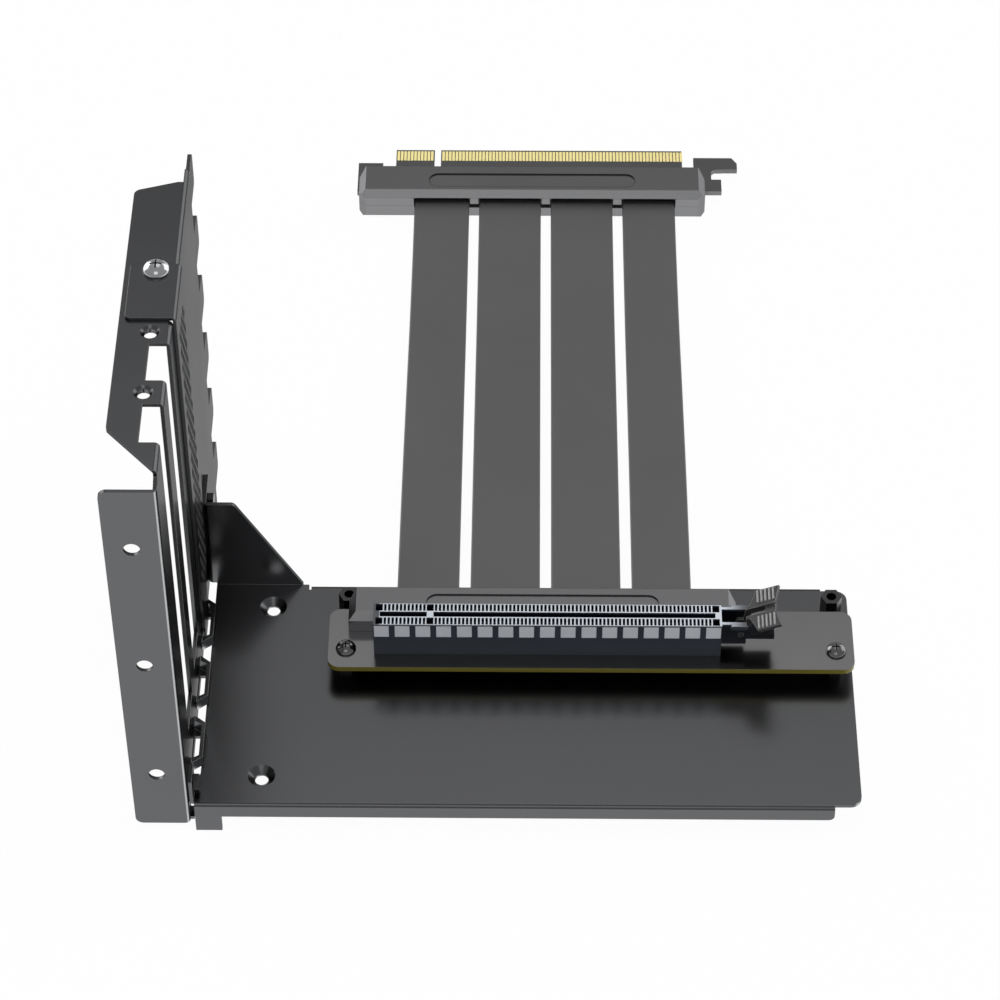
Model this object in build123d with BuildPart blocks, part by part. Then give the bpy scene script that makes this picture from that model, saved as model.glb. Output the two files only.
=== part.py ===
"""Sixteen lane riser cable on its sheet metal bracket for an upright graphics card.

Millimetres. X runs along the socket, Y goes back towards the plug, Z is up.
The origin is on the standing surface, below the middle of the bracket.
"""

from build123d import *
import os
from math import cos, radians, sin, sqrt, tan

# Sheet metal
SHEET = 1.0
BEND_OUTER = 1.3
BEND_INNER = 0.3
RELIEF = 0.6
RELIEF_DEPTH = 1.8

# Base plate
BASE_LENGTH = 166.0
COVER_TO_GUSSET = 3.31
BASE_CORNER = 3.0
FLANGE_DROP = 4.4
FLANGE_CORNER = 1.5
FLANGE_END = 159.2
EDGE_SETBACK = 1.35
REAR_FLANGE_START = 25.0
TAB_DROP = 9.8
TAB_WIDTH = 6.6
FOOT_SIDE = 1.0
FOOT_RUN = 10.5
FOOT_FLAT = 6.0
DIMPLE_X = 15.35
DIMPLE_FRONT = 9.8
DIMPLE_BEHIND = 7.9
DIMPLE_RADIUS = 3.5
DIMPLE_DEPTH = 1.7
BASE_HOLE_RADIUS = 1.7

# Gusset and ear that hold the slot plate
GUSSET_HEIGHT = 30.2
GUSSET_TOP = 6.0
GUSSET_FOOT = 22.8
GUSSET_LIFT = 0.6
TIE_FLANGE_DEPTH = 11.0
EAR_START = 1.2
EAR_WIDTH = 6.4
EAR_HEIGHT = 7.4
TIE_SCREW_RADIUS = 1.5
TIE_HEAD_RADIUS = 2.4
TIE_HEAD_HEIGHT = 1.5
GUSSET_SCREW_BACK = 5.8
GUSSET_SCREW_Z = 25.4
EAR_SCREW_Z = 3.6

# Slot plate
PLATE_GAP = 2.2
PLATE_TOP = 116.5
PLATE_BOTTOM = 2.0
PLATE_REAR = 107.4
PLATE_FRONT_TOP = 3.3
PLATE_STEP = 1.0
SLOT_PITCH = 20.32
SLOT_COUNT = 3
OPENING_FRONT = 12.15
OPENING_WIDTH = 12.5
OPENING_BOTTOM = 14.6
OPENING_REACH = 5.0
SLOT_HOLE_LEAD = 4.0
SLOT_HOLE_X = 7.3
SLOT_HOLE_RADIUS = 1.65
SLOT_HOLE_BEVEL = 0.7
COLLAR_RADIUS = 2.5
COLLAR_DROP = 1.0
TONGUE_DEPTH = 8.7
TONGUE_HEIGHT = 10.0
TONGUE_STEP = 1.9
TONGUE_CORNER = 1.0
TOP_FLANGE_WIDTH = 12.8
TOP_FLANGE_FRONT = 16.5
TOP_FLANGE_REAR = 99.2
TOP_FLANGE_ROOT_REAR = 102.5
TOP_FLANGE_CORNER = 2.0
FRONT_FLANGE_WIDTH = 13.6
FRONT_FLANGE_LEAD = 0.8
FRONT_FLANGE_STEP = 3.2
FRONT_FLANGE_BOTTOM = 6.0
FRONT_HOLE_X = 9.3
FRONT_HOLE_Z = 12.95
FRONT_HOLE_PITCH = 40.64
FRONT_HOLE_RADIUS = 2.0
RETURN_WIDTH = 1.0
RETURN_DEPTH = 4.0

# Pockets for the tongues of slot brackets
STRAP_LENGTH = 15.6
STRAP_HEIGHT = 3.3
STRAP_LIFT = 0.4
STRAP_POCKET = 1.75
STRAP_RAMP = 2.2
GUIDE_LENGTH = 4.0
GUIDE_REACH = 2.0

# Perforated slot cover
COVER_SHEET = 0.86
COVER_WIDTH = 19.0
COVER_BOTTOM = 13.0
COVER_TAB_LENGTH = 11.4
COVER_BEHIND_SCREW = 2.4
COVER_CORNER = 1.0
COVER_TONGUE_WIDTH = 10.2
COVER_TONGUE_BOTTOM = 0.8
NOTCH_RADIUS = 2.2
HEX_PITCH = 3.0
HEX_RADIUS = 1.38
HEX_COLUMNS = 4
HEX_DROP = 9.0
HEX_BOTTOM = 18.5
COVER_HEAD_RADIUS = 3.35
COVER_HEAD_HEIGHT = 1.7
COVER_SHANK_LENGTH = 5.0

# Riser board
BOARD_LENGTH = 135.3
BOARD_DEPTH = 20.0
BOARD_THICKNESS = 1.6
BOARD_CORNER = 3.0
BOARD_X = 30.8
BOARD_Y = 40.4
BOARD_HOLE_RADIUS = 1.6
BOARD_HOLE_INSET = 4.6
BOARD_HOLE_Y = 6.3
STANDOFF_HEIGHT = 5.0
STANDOFF_FLATS = 4.8
STANDOFF_BORE = 1.3
STANDOFF_ROW = 20.5
BOARD_HEAD_RADIUS = 2.65
BOARD_HEAD_HEIGHT = 1.9
BOARD_SHANK_LENGTH = 5.0
THREAD_CLEARANCE = 0.05
HEAD_TAPER = 0.62
DRIVE_WIDTH = 0.6
DRIVE_SPAN = 2.9
DRIVE_DEPTH = 1.1

# Sixteen lane socket
SOCKET_LENGTH = 89.0
SOCKET_WIDTH = 7.5
SOCKET_HEIGHT = 11.25
SOCKET_X = 42.7
SOCKET_Y = 44.9
KEY_X = 14.5
KEY_WIDTH = 1.7
CONTACT_PITCH = 1.0
CONTACT_END = 2.9
KEY_TO_CONTACT = 1.5
CAVITY_WIDTH = 0.62
CAVITY_LENGTH = 2.3
CAVITY_DEPTH = 4.5
CAVITY_WALL = 0.3
CARD_SLOT_WIDTH = 1.7
CARD_SLOT_DEPTH = 7.2
CARD_SLOT_END = 1.6
END_CAVITY_WIDTH = 1.8
END_CAVITY_INSET = 0.55
BLADE_WIDTH = 0.34
BLADE_FOOT = 0.5
BLADE_TIP = 0.3
BLADE_HEIGHT = 4.0
BLADE_LEAN = 0.9
BLADE_GAP = 0.15
WINDOW_PITCH = 5.3
WINDOW_FIRST = 2.1
WINDOW_WIDTH = 3.8
WINDOW_HEIGHT = 4.2
WINDOW_DROP = 0.45
WINDOW_DEPTH = 0.22
PAD_THICKNESS = 0.16
SOCKET_BEVEL = 0.15

# Tower and lever that hold the card's hook
TOWER_LENGTH = 6.3
TOWER_UNDERSIDE = 3.9
TOWER_INSET = 0.75
ARM_THICKNESS = 0.8
TOWER_FLOOR = 5.6
SHELF_LENGTH = 7.2
SHELF_BOTTOM = 5.8
SHELF_TOP = 7.6
BOSS_LENGTH = 4.6
BOSS_HEIGHT = 1.3
BOSS_X = 4.4
BOSS_DROP = 0.7
PIVOT_X = 4.9
PIVOT_DROP = 3.95
PIVOT_RADIUS = 0.8
PIVOT_CLEARANCE = 0.1
LEVER_TILT = 22.0
LEVER_GAP = 0.15
LEVER_START = 3.05
LEVER_LENGTH = 10.7
LEVER_RISE = 4.15
HUB_RADIUS = 1.2
NECK_START = 1.0
NECK_RISE = 0.65
NECK_UNDER = 0.6
CHEEK_THICKNESS = 0.9
CHEEK_HEIGHT = 1.9
WEB_LENGTH = 2.7
WEB_HEIGHT = 1.2
WING_START = 3.95
WING_SHOULDER = 5.9
WING_END = 12.2
WING_HEEL = 10.9
WING_REACH = 4.7
WING_THICKNESS = 0.9
RIB_COUNT = 5
RIB_FIRST = 6.35
RIB_PITCH = 1.05
RIB_INSET = 0.3
RIB_HEIGHT = 0.35
RIB_WIDTH = 0.45

# Ribbons
RIBBON_THICKNESS = 1.1
RIBBON_WIDTHS = [16.2, 18.2, 18.2, 15.5]
RIBBON_GAP = 2.9
RIBBON_FIRST_X = 48.0
RIBBON_POCKET = 2.0
RIBBON_CLEARANCE = 0.15

# Shells over the riser board
RISER_SHELL_X = 35.9
RISER_SHELL_LENGTH = 100.1
RISER_SHELL_REAR = 62.9
RISER_SHELL_RISE = 5.75
RISER_SHELL_DROP = 4.2
SHELL_GAP = 0.3
SHELL_CORNER = 2.1
SHELL_CUT_SIDE = 1.8
SHELL_CUT_RUN = 3.1
SHELL_BEVEL = 1.9
SHELL_LOWER_BEVEL = 1.0
PANEL_DEPTH = 0.4
RISER_PANEL_LENGTH = 60.0
RISER_PANEL_WIDTH = 5.6

# Plug
PLUG_X = 31.55
PLUG_LENGTH = 102.25
PLUG_FRONT = 231.7
PLUG_DEPTH = 12.2
PLUG_HEIGHT = 9.5
PLUG_PANEL_LENGTH = 60.8
PLUG_PANEL_WIDTH = 5.8
PLUG_PART_GAP = 1.4
CARD_THICKNESS = 1.57
CARD_TIP = 24.6
CARD_EDGE_X = 42.05
CARD_SHORT_TAB = 11.45
CARD_NOTCH = 1.9
CARD_LONG_TAB = 72.0
CARD_NOTCH_DEPTH = 9.2
CARD_LEFT = 30.9
CARD_FOOT = 5.2
CARD_EAR_WIDTH = 7.3
CARD_EAR_DROP = 6.5
HOOK_GAP = 3.4
HOOK_DROP = 3.55
HOOK_LENGTH = 12.95
HOOK_CUT_SIDE = 1.55
HOOK_CUT_RUN = 2.45
HOOK_MOUTH_TOP = 8.8
HOOK_MOUTH_BOTTOM = 13.3
HOOK_MOUTH_DEPTH = 7.8
HOOK_MOUTH_CORNER = 1.0
HOOK_FINGER = 2.9
HOOK_FINGER_BOTTOM = 18.6
HOOK_TEETH = 7
HOOK_TOOTH = 0.7
EDGE_BEVEL = 0.5
FINGER_WIDTH = 0.76
FINGER_LENGTH = 4.2
FINGER_INSET = 0.6
FINGER_SIDE = 0.75
FINGER_THICKNESS = 0.05

# Places in the row frame that follow from the sizes above
BODY_LENGTH = FRONT_FLANGE_WIDTH + PLATE_GAP + BASE_LENGTH
BODY_DEPTH = FRONT_FLANGE_LEAD + PLATE_REAR + TONGUE_DEPTH
BASE_X = BODY_LENGTH / 2 - BASE_LENGTH
BASE_Y = FRONT_FLANGE_LEAD - BODY_DEPTH / 2
BASE_Z = TAB_DROP

opening_fronts = [OPENING_FRONT + SLOT_PITCH * slot for slot in range(SLOT_COUNT)]
slot_holes = [front + OPENING_WIDTH + SLOT_HOLE_LEAD for front in opening_fronts]
cover_front = slot_holes[-1] + COVER_BEHIND_SCREW - COVER_WIDTH
base_depth = cover_front + COVER_WIDTH + COVER_TO_GUSSET
dimple_rear = base_depth - DIMPLE_BEHIND
front_flange_top = PLATE_TOP - FRONT_FLANGE_STEP
BOARD_Z = STANDOFF_HEIGHT
BOARD_TOP = BOARD_Z + BOARD_THICKNESS
SOCKET_TOP = BOARD_TOP + SOCKET_HEIGHT
CORNER = (Align.MIN, Align.MIN)
HANGING = (Align.MIN, Align.MAX)


def level(height):
    """Horizontal plane over the base plate, with its origin at the plate's front left corner."""
    return Plane(origin=(BASE_X, BASE_Y, BASE_Z + height))


def upright(x):
    """Plane that faces right, with local x going back and local y up."""
    return Plane(origin=(BASE_X + x, BASE_Y, BASE_Z), x_dir=(0, 1, 0), z_dir=(1, 0, 0))


def frontal(y):
    """Plane that faces the front, with local x going right and local y up."""
    return Plane(origin=(BASE_X, BASE_Y + y, BASE_Z), x_dir=(1, 0, 0), z_dir=(0, -1, 0))


def near(shapes, axis, place):
    """Shapes whose centre lies at one place along an axis."""
    return shapes.filter_by_position(axis, place - 0.01, place + 0.01)


def finish(part, label):
    """Label a finished piece and write its file."""
    part.label = label
    export_step(part, f"parts/{label}.step")


os.makedirs("parts", exist_ok=True)

# Base plate: folded flanges in front and behind, a locating tab, a gusset and an ear
standoff_x = [BOARD_X + BOARD_HOLE_INSET, BOARD_X + BOARD_LENGTH - BOARD_HOLE_INSET]
front_row_y = BOARD_Y + BOARD_HOLE_Y
rear_row_y = front_row_y + STANDOFF_ROW
standoff_places = [(x, y) for y in (front_row_y, rear_row_y) for x in standoff_x]
gusset_face = base_depth
tie_screw_y = gusset_face + GUSSET_SCREW_BACK

with BuildPart() as base_plate:
    with BuildSketch(level(-SHEET)) as outline:
        with BuildLine():
            Polyline(
                (-FOOT_SIDE, 0),
                (FLANGE_END, 0),
                (FLANGE_END, EDGE_SETBACK),
                (BASE_LENGTH, EDGE_SETBACK),
                (BASE_LENGTH, base_depth - EDGE_SETBACK),
                (FLANGE_END, base_depth - EDGE_SETBACK),
                (FLANGE_END, base_depth),
                (0, base_depth),
                (0, FOOT_RUN),
                (-FOOT_SIDE, FOOT_FLAT),
                close=True,
            )
        make_face()
        fillet(outline.vertices().group_by(Axis.X)[-1], BASE_CORNER)
        with Locations((REAR_FLANGE_START - RELIEF, base_depth)):
            Rectangle(RELIEF, RELIEF_DEPTH, align=HANGING, mode=Mode.SUBTRACT)
    extrude(amount=SHEET)
    with BuildSketch(frontal(0)) as front_drop:
        with Locations((-FOOT_SIDE, 0)):
            Rectangle(FLANGE_END + FOOT_SIDE, FLANGE_DROP, align=HANGING)
            Rectangle(TAB_WIDTH, TAB_DROP, align=HANGING)
        fillet(front_drop.vertices().group_by(Axis.X)[-1].sort_by(Axis.Y)[0], FLANGE_CORNER)
    extrude(amount=-SHEET)
    with BuildSketch(frontal(base_depth)):
        with Locations((REAR_FLANGE_START, 0)):
            Rectangle(FLANGE_END - REAR_FLANGE_START, FLANGE_DROP, align=HANGING)
    extrude(amount=SHEET)
    # The gusset runs past the base's left edge and folds back along the slot plate
    with BuildSketch(frontal(gusset_face)) as gusset:
        with BuildLine():
            Polyline(
                (-PLATE_GAP, GUSSET_LIFT),
                (-PLATE_GAP, GUSSET_HEIGHT),
                (GUSSET_TOP, GUSSET_HEIGHT),
                (GUSSET_FOOT, 0),
                (GUSSET_FOOT, -SHEET),
                (0, -SHEET),
                (0, GUSSET_LIFT),
                close=True,
            )
        make_face()
        fillet(gusset.vertices().sort_by(Axis.Y)[-1], BEND_OUTER)
    extrude(amount=-SHEET)
    with BuildSketch(upright(-PLATE_GAP)):
        with Locations((gusset_face, GUSSET_LIFT)):
            Rectangle(TIE_FLANGE_DEPTH, GUSSET_HEIGHT - GUSSET_LIFT, align=CORNER)
    extrude(amount=SHEET)
    # The ear at the front stands up against the slot plate
    with BuildSketch(frontal(EAR_START + EAR_WIDTH)):
        with Locations((-PLATE_GAP, -SHEET)):
            Rectangle(PLATE_GAP, SHEET, align=CORNER)
            Rectangle(SHEET, EAR_HEIGHT + SHEET, align=CORNER)
    extrude(amount=EAR_WIDTH)
    along = base_plate.edges().filter_by(Axis.X)
    top_edges = near(along, Axis.Z, BASE_Z)
    fillet(near(top_edges, Axis.Y, BASE_Y).sort_by(SortBy.LENGTH)[-1], BEND_OUTER)
    fillet(near(top_edges, Axis.Y, BASE_Y + base_depth).sort_by(SortBy.LENGTH)[-1], BEND_OUTER)
    under = near(base_plate.edges().filter_by(Axis.X), Axis.Z, BASE_Z - SHEET)
    fillet(near(under, Axis.Y, BASE_Y + gusset_face + SHEET), BEND_OUTER)
    upright_edges = base_plate.edges().filter_by(Axis.Z)
    gusset_corner = near(near(upright_edges, Axis.X, BASE_X - PLATE_GAP), Axis.Y, BASE_Y + gusset_face)
    fillet(gusset_corner, BEND_OUTER)
    ear_edges = near(base_plate.edges().filter_by(Axis.Y), Axis.X, BASE_X - PLATE_GAP)
    fillet(near(ear_edges, Axis.Z, BASE_Z - SHEET), BEND_OUTER)
    # Formed dimples around the base screws
    for hole_y in (DIMPLE_FRONT, dimple_rear):
        with BuildSketch(level(0)):
            with Locations((DIMPLE_X, hole_y)):
                Circle(DIMPLE_RADIUS + SHEET)
        with BuildSketch(level(-DIMPLE_DEPTH - SHEET / 2)):
            with Locations((DIMPLE_X, hole_y)):
                Circle(BASE_HOLE_RADIUS + SHEET)
        loft()
        with BuildSketch(level(0)):
            with Locations((DIMPLE_X, hole_y)):
                Circle(DIMPLE_RADIUS)
        with BuildSketch(level(-DIMPLE_DEPTH)):
            with Locations((DIMPLE_X, hole_y)):
                Circle(BASE_HOLE_RADIUS)
        loft(mode=Mode.SUBTRACT)
    with BuildSketch(level(0)):
        with Locations((DIMPLE_X, DIMPLE_FRONT), (DIMPLE_X, dimple_rear)):
            Circle(BASE_HOLE_RADIUS)
    extrude(amount=-2 * DIMPLE_DEPTH, mode=Mode.SUBTRACT)
    with BuildSketch(upright(-PLATE_GAP)):
        with Locations((tie_screw_y, GUSSET_SCREW_Z), (EAR_START + EAR_WIDTH / 2, EAR_SCREW_Z)):
            Circle(TIE_SCREW_RADIUS + THREAD_CLEARANCE)
    extrude(amount=SHEET, mode=Mode.SUBTRACT)
finish(base_plate.part, "base_plate")

# Slot plate: three card openings that run over the top bend, flanges, tongues and pockets
plate_face = -PLATE_GAP
plate_back = plate_face - SHEET
strap_middles = [front + OPENING_WIDTH / 2 for front in opening_fronts]
opening_top = PLATE_TOP + SHEET
opening_rise = opening_top - OPENING_BOTTOM
tongue_top = PLATE_TOP - TONGUE_STEP
tongue_count = int((tongue_top - TONGUE_HEIGHT + PLATE_BOTTOM) / SLOT_PITCH) + 1

with BuildPart() as io_plate:
    with BuildSketch(upright(plate_back)) as sheet_outline:
        with BuildLine():
            Polyline(
                (-FRONT_FLANGE_LEAD, -FRONT_FLANGE_BOTTOM),
                (-FRONT_FLANGE_LEAD, front_flange_top),
                (BEND_OUTER, front_flange_top),
                (PLATE_FRONT_TOP, front_flange_top + PLATE_STEP),
                (PLATE_FRONT_TOP, PLATE_TOP),
                (PLATE_REAR, PLATE_TOP),
                (PLATE_REAR, -PLATE_BOTTOM),
                (RETURN_DEPTH, -PLATE_BOTTOM),
                (RETURN_DEPTH, -FRONT_FLANGE_BOTTOM),
                close=True,
            )
        make_face()
        with Locations(*[(PLATE_REAR, tongue_top - SLOT_PITCH * k) for k in range(tongue_count)]):
            Rectangle(TONGUE_DEPTH, TONGUE_HEIGHT, align=HANGING)
        chamfer(sheet_outline.vertices().group_by(Axis.X)[-1], TONGUE_CORNER)
    extrude(amount=SHEET)
    # Top flange, bent outwards
    with BuildSketch(level(PLATE_TOP - SHEET)) as top_flange:
        with BuildLine():
            Polyline(
                (plate_face, PLATE_FRONT_TOP),
                (plate_back, PLATE_FRONT_TOP),
                (plate_face - TOP_FLANGE_WIDTH, TOP_FLANGE_FRONT),
                (plate_face - TOP_FLANGE_WIDTH, TOP_FLANGE_REAR),
                (plate_back - BEND_OUTER, TOP_FLANGE_ROOT_REAR),
                (plate_face, TOP_FLANGE_ROOT_REAR),
                close=True,
            )
        make_face()
        fillet(top_flange.vertices().group_by(Axis.X)[0], TOP_FLANGE_CORNER)
    extrude(amount=SHEET)
    # Front flange with the case screw holes, bent outwards
    with BuildSketch(frontal(-FRONT_FLANGE_LEAD)) as front_flange:
        with Locations((plate_face, -FRONT_FLANGE_BOTTOM)):
            Rectangle(FRONT_FLANGE_WIDTH, front_flange_top + FRONT_FLANGE_BOTTOM, align=(Align.MAX, Align.MIN))
        fillet(front_flange.vertices().group_by(Axis.X)[0], TOP_FLANGE_CORNER)
        with Locations(*[(-FRONT_HOLE_X, FRONT_HOLE_Z + FRONT_HOLE_PITCH * k) for k in range(3)]):
            Circle(FRONT_HOLE_RADIUS, mode=Mode.SUBTRACT)
    extrude(amount=-SHEET)
    along_y = io_plate.edges().filter_by(Axis.Y)
    top_bend = near(near(along_y, Axis.X, BASE_X + plate_face), Axis.Z, BASE_Z + PLATE_TOP)
    fillet(top_bend.sort_by(SortBy.LENGTH)[-1], BEND_OUTER)
    upright_edges = io_plate.edges().filter_by(Axis.Z)
    front_bend = near(near(upright_edges, Axis.X, BASE_X + plate_face), Axis.Y, BASE_Y - FRONT_FLANGE_LEAD)
    fillet(front_bend.sort_by(SortBy.LENGTH)[-1], BEND_OUTER)
    # Return along the bottom that meets the base's tab
    with BuildSketch(level(-FRONT_FLANGE_BOTTOM)):
        with Locations((plate_back, BEND_OUTER - FRONT_FLANGE_LEAD)):
            Rectangle(SHEET + RETURN_WIDTH, RETURN_DEPTH - BEND_OUTER + FRONT_FLANGE_LEAD, align=CORNER)
    extrude(amount=SHEET)
    # Threaded collars under the top flange
    with BuildSketch(level(PLATE_TOP - SHEET)):
        with Locations(*[(-SLOT_HOLE_X, y) for y in slot_holes]):
            Circle(COLLAR_RADIUS)
    extrude(amount=-COLLAR_DROP)
    with BuildSketch(level(PLATE_TOP)):
        with Locations(*[(-SLOT_HOLE_X, y) for y in slot_holes]):
            Circle(SLOT_HOLE_RADIUS)
    extrude(amount=-SHEET - COLLAR_DROP, mode=Mode.SUBTRACT)
    hole_rims = near(io_plate.edges().filter_by(GeomType.CIRCLE), Axis.Z, BASE_Z + PLATE_TOP)
    chamfer(hole_rims.filter_by(lambda rim: rim.is_closed), SLOT_HOLE_BEVEL)
    # Card openings, through the sheet and over the bend
    with BuildSketch(upright(plate_face)):
        with Locations(*[(front, OPENING_BOTTOM) for front in opening_fronts]):
            Rectangle(OPENING_WIDTH, opening_rise, align=CORNER)
    extrude(amount=-OPENING_REACH, mode=Mode.SUBTRACT)
    # Lanced straps with their windows
    with BuildSketch(upright(plate_face)):
        with Locations(*[(middle, STRAP_LIFT) for middle in strap_middles]):
            Rectangle(STRAP_LENGTH, STRAP_HEIGHT, align=(Align.CENTER, Align.MIN))
    extrude(amount=-SHEET, mode=Mode.SUBTRACT)
    for middle in strap_middles:
        near_end = middle - STRAP_LENGTH / 2
        far_end = middle + STRAP_LENGTH / 2
        crown = plate_face + STRAP_POCKET
        with BuildSketch(level(STRAP_LIFT)):
            with BuildLine():
                Polyline(
                    (plate_back, near_end),
                    (plate_face, near_end),
                    (crown + SHEET, near_end + STRAP_RAMP),
                    (crown + SHEET, far_end - STRAP_RAMP),
                    (plate_face, far_end),
                    (plate_back, far_end),
                    (plate_back, far_end - SHEET),
                    (crown, far_end - STRAP_RAMP - SHEET / 2),
                    (crown, near_end + STRAP_RAMP + SHEET / 2),
                    (plate_back, near_end + SHEET),
                    close=True,
                )
            make_face()
        extrude(amount=STRAP_HEIGHT)
        # Small guide tab under each pocket
        with BuildSketch(level(STRAP_LIFT - SHEET)):
            with Locations((plate_face, far_end - GUIDE_LENGTH)):
                Rectangle(GUIDE_REACH, GUIDE_LENGTH, align=CORNER)
        extrude(amount=SHEET)
    with BuildSketch(upright(plate_face)):
        with Locations((tie_screw_y, GUSSET_SCREW_Z), (EAR_START + EAR_WIDTH / 2, EAR_SCREW_Z)):
            Circle(TIE_SCREW_RADIUS + THREAD_CLEARANCE)
    extrude(amount=-SHEET, mode=Mode.SUBTRACT)
finish(io_plate.part, "io_plate")

# Perforated cover over the rear slot
cover_middle = cover_front + COVER_WIDTH / 2
cover_face = plate_face + COVER_SHEET
hex_row = HEX_PITCH * sqrt(3) / 2
hex_top = PLATE_TOP - HEX_DROP
hex_rows = int((hex_top - HEX_BOTTOM) / hex_row) + 1
tongue_side = (COVER_WIDTH - COVER_TONGUE_WIDTH) / 2
tongue_middle = strap_middles[-1]

with BuildPart() as slot_cover:
    with BuildSketch(upright(plate_face)):
        with BuildLine():
            Polyline(
                (cover_front, PLATE_TOP + COVER_SHEET),
                (cover_front + COVER_WIDTH, PLATE_TOP + COVER_SHEET),
                (cover_front + COVER_WIDTH, COVER_BOTTOM + tongue_side),
                (tongue_middle + COVER_TONGUE_WIDTH / 2, COVER_BOTTOM),
                (tongue_middle + COVER_TONGUE_WIDTH / 2, COVER_TONGUE_BOTTOM + COVER_CORNER),
                (tongue_middle + COVER_TONGUE_WIDTH / 2 - COVER_CORNER, COVER_TONGUE_BOTTOM),
                (tongue_middle - COVER_TONGUE_WIDTH / 2 + COVER_CORNER, COVER_TONGUE_BOTTOM),
                (tongue_middle - COVER_TONGUE_WIDTH / 2, COVER_TONGUE_BOTTOM + COVER_CORNER),
                (tongue_middle - COVER_TONGUE_WIDTH / 2, COVER_BOTTOM),
                (cover_front, COVER_BOTTOM + COVER_CORNER),
                close=True,
            )
        make_face()
    extrude(amount=COVER_SHEET)
    with BuildSketch(level(PLATE_TOP)) as cover_tab:
        with Locations((cover_face, cover_front)):
            Rectangle(COVER_TAB_LENGTH + COVER_SHEET, COVER_WIDTH, align=(Align.MAX, Align.MIN))
        fillet(cover_tab.vertices().group_by(Axis.X)[0], BEND_OUTER)
        with Locations((-SLOT_HOLE_X, slot_holes[-1])):
            Circle(NOTCH_RADIUS, mode=Mode.SUBTRACT)
            Rectangle(2 * NOTCH_RADIUS, COVER_WIDTH, align=(Align.CENTER, Align.MIN), mode=Mode.SUBTRACT)
    extrude(amount=COVER_SHEET)
    cover_bend = near(slot_cover.edges().filter_by(Axis.Y), Axis.Z, BASE_Z + PLATE_TOP + COVER_SHEET)
    fillet(near(cover_bend, Axis.X, BASE_X + cover_face), COVER_SHEET + BEND_INNER)
    with BuildSketch(upright(plate_face)):
        for row in range(hex_rows):
            shift = HEX_PITCH / 4 if row % 2 else -HEX_PITCH / 4
            with Locations((cover_middle + shift, hex_top - hex_row * row)):
                with GridLocations(HEX_PITCH, hex_row, HEX_COLUMNS, 1):
                    RegularPolygon(HEX_RADIUS, 6, rotation=30)
    extrude(amount=COVER_SHEET, mode=Mode.SUBTRACT)
finish(slot_cover.part, "slot_cover")


def pan_screw(head_plane, head_radius, head_height, shank_radius, shank_length):
    """Pan head screw with a cross recess, head on the plane and shank through it."""
    crown = head_height - DRIVE_WIDTH
    with BuildSketch(head_plane) as head:
        Circle(head_radius)
    with BuildSketch(head_plane.offset(crown)) as shoulder:
        Circle(head_radius)
    with BuildSketch(head_plane.offset(head_height)) as top:
        Circle(head_radius * HEAD_TAPER)
    with BuildSketch(head_plane) as shank:
        Circle(shank_radius)
    with BuildSketch(head_plane.offset(head_height)) as drive:
        Rectangle(DRIVE_SPAN, DRIVE_WIDTH)
        Rectangle(DRIVE_WIDTH, DRIVE_SPAN)
    extrude(head.sketch, amount=crown)
    loft([shoulder.sketch, top.sketch])
    extrude(shank.sketch, amount=-shank_length)
    extrude(drive.sketch, amount=-DRIVE_DEPTH, mode=Mode.SUBTRACT)


with BuildPart() as cover_screw:
    seat = level(PLATE_TOP + COVER_SHEET)
    head_plane = Plane(origin=seat.from_local_coords((-SLOT_HOLE_X, slot_holes[-1], 0)))
    pan_screw(
        head_plane,
        COVER_HEAD_RADIUS,
        COVER_HEAD_HEIGHT,
        SLOT_HOLE_RADIUS - THREAD_CLEARANCE,
        COVER_SHANK_LENGTH,
    )
finish(cover_screw.part, "cover_screw")

tie_places = {
    "tie_screw_rear": (tie_screw_y, GUSSET_SCREW_Z),
    "tie_screw_front": (EAR_START + EAR_WIDTH / 2, EAR_SCREW_Z),
}
for label, place in tie_places.items():
    with BuildPart() as tie_screw:
        with BuildSketch(upright(plate_face + SHEET)):
            with Locations(place):
                RegularPolygon(TIE_HEAD_RADIUS, 6)
        extrude(amount=TIE_HEAD_HEIGHT)
        with BuildSketch(upright(plate_face + SHEET)):
            with Locations(place):
                Circle(TIE_SCREW_RADIUS)
        extrude(amount=-2 * SHEET)
    finish(tie_screw.part, label)

# Threaded standoffs on the base
standoff_names = ["standoff_front_left", "standoff_front_right", "standoff_rear_left", "standoff_rear_right"]
for label, place in zip(standoff_names, standoff_places):
    with BuildPart() as standoff:
        with BuildSketch(level(0)):
            with Locations(place):
                RegularPolygon(STANDOFF_FLATS / 2, 6, major_radius=False)
        extrude(amount=STANDOFF_HEIGHT)
        with BuildSketch(level(STANDOFF_HEIGHT)):
            with Locations(place):
                Circle(STANDOFF_BORE)
        extrude(amount=-STANDOFF_HEIGHT, mode=Mode.SUBTRACT)
    finish(standoff.part, label)

# Riser board on the front standoffs
with BuildPart() as riser_board:
    with BuildSketch(level(BOARD_Z)) as board_outline:
        with Locations((BOARD_X, BOARD_Y)):
            Rectangle(BOARD_LENGTH, BOARD_DEPTH, align=CORNER)
        fillet(board_outline.vertices(), BOARD_CORNER)
        with Locations(*[(x, front_row_y) for x in standoff_x]):
            Circle(BOARD_HOLE_RADIUS, mode=Mode.SUBTRACT)
    extrude(amount=BOARD_THICKNESS)
finish(riser_board.part, "riser_board")

for label, x in zip(["board_screw_left", "board_screw_right"], standoff_x):
    with BuildPart() as board_screw:
        seat = level(BOARD_TOP)
        head_plane = Plane(origin=seat.from_local_coords((x, front_row_y, 0)))
        pan_screw(
            head_plane,
            BOARD_HEAD_RADIUS,
            BOARD_HEAD_HEIGHT,
            STANDOFF_BORE - THREAD_CLEARANCE,
            BOARD_SHANK_LENGTH,
        )
    finish(board_screw.part, label)

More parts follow.
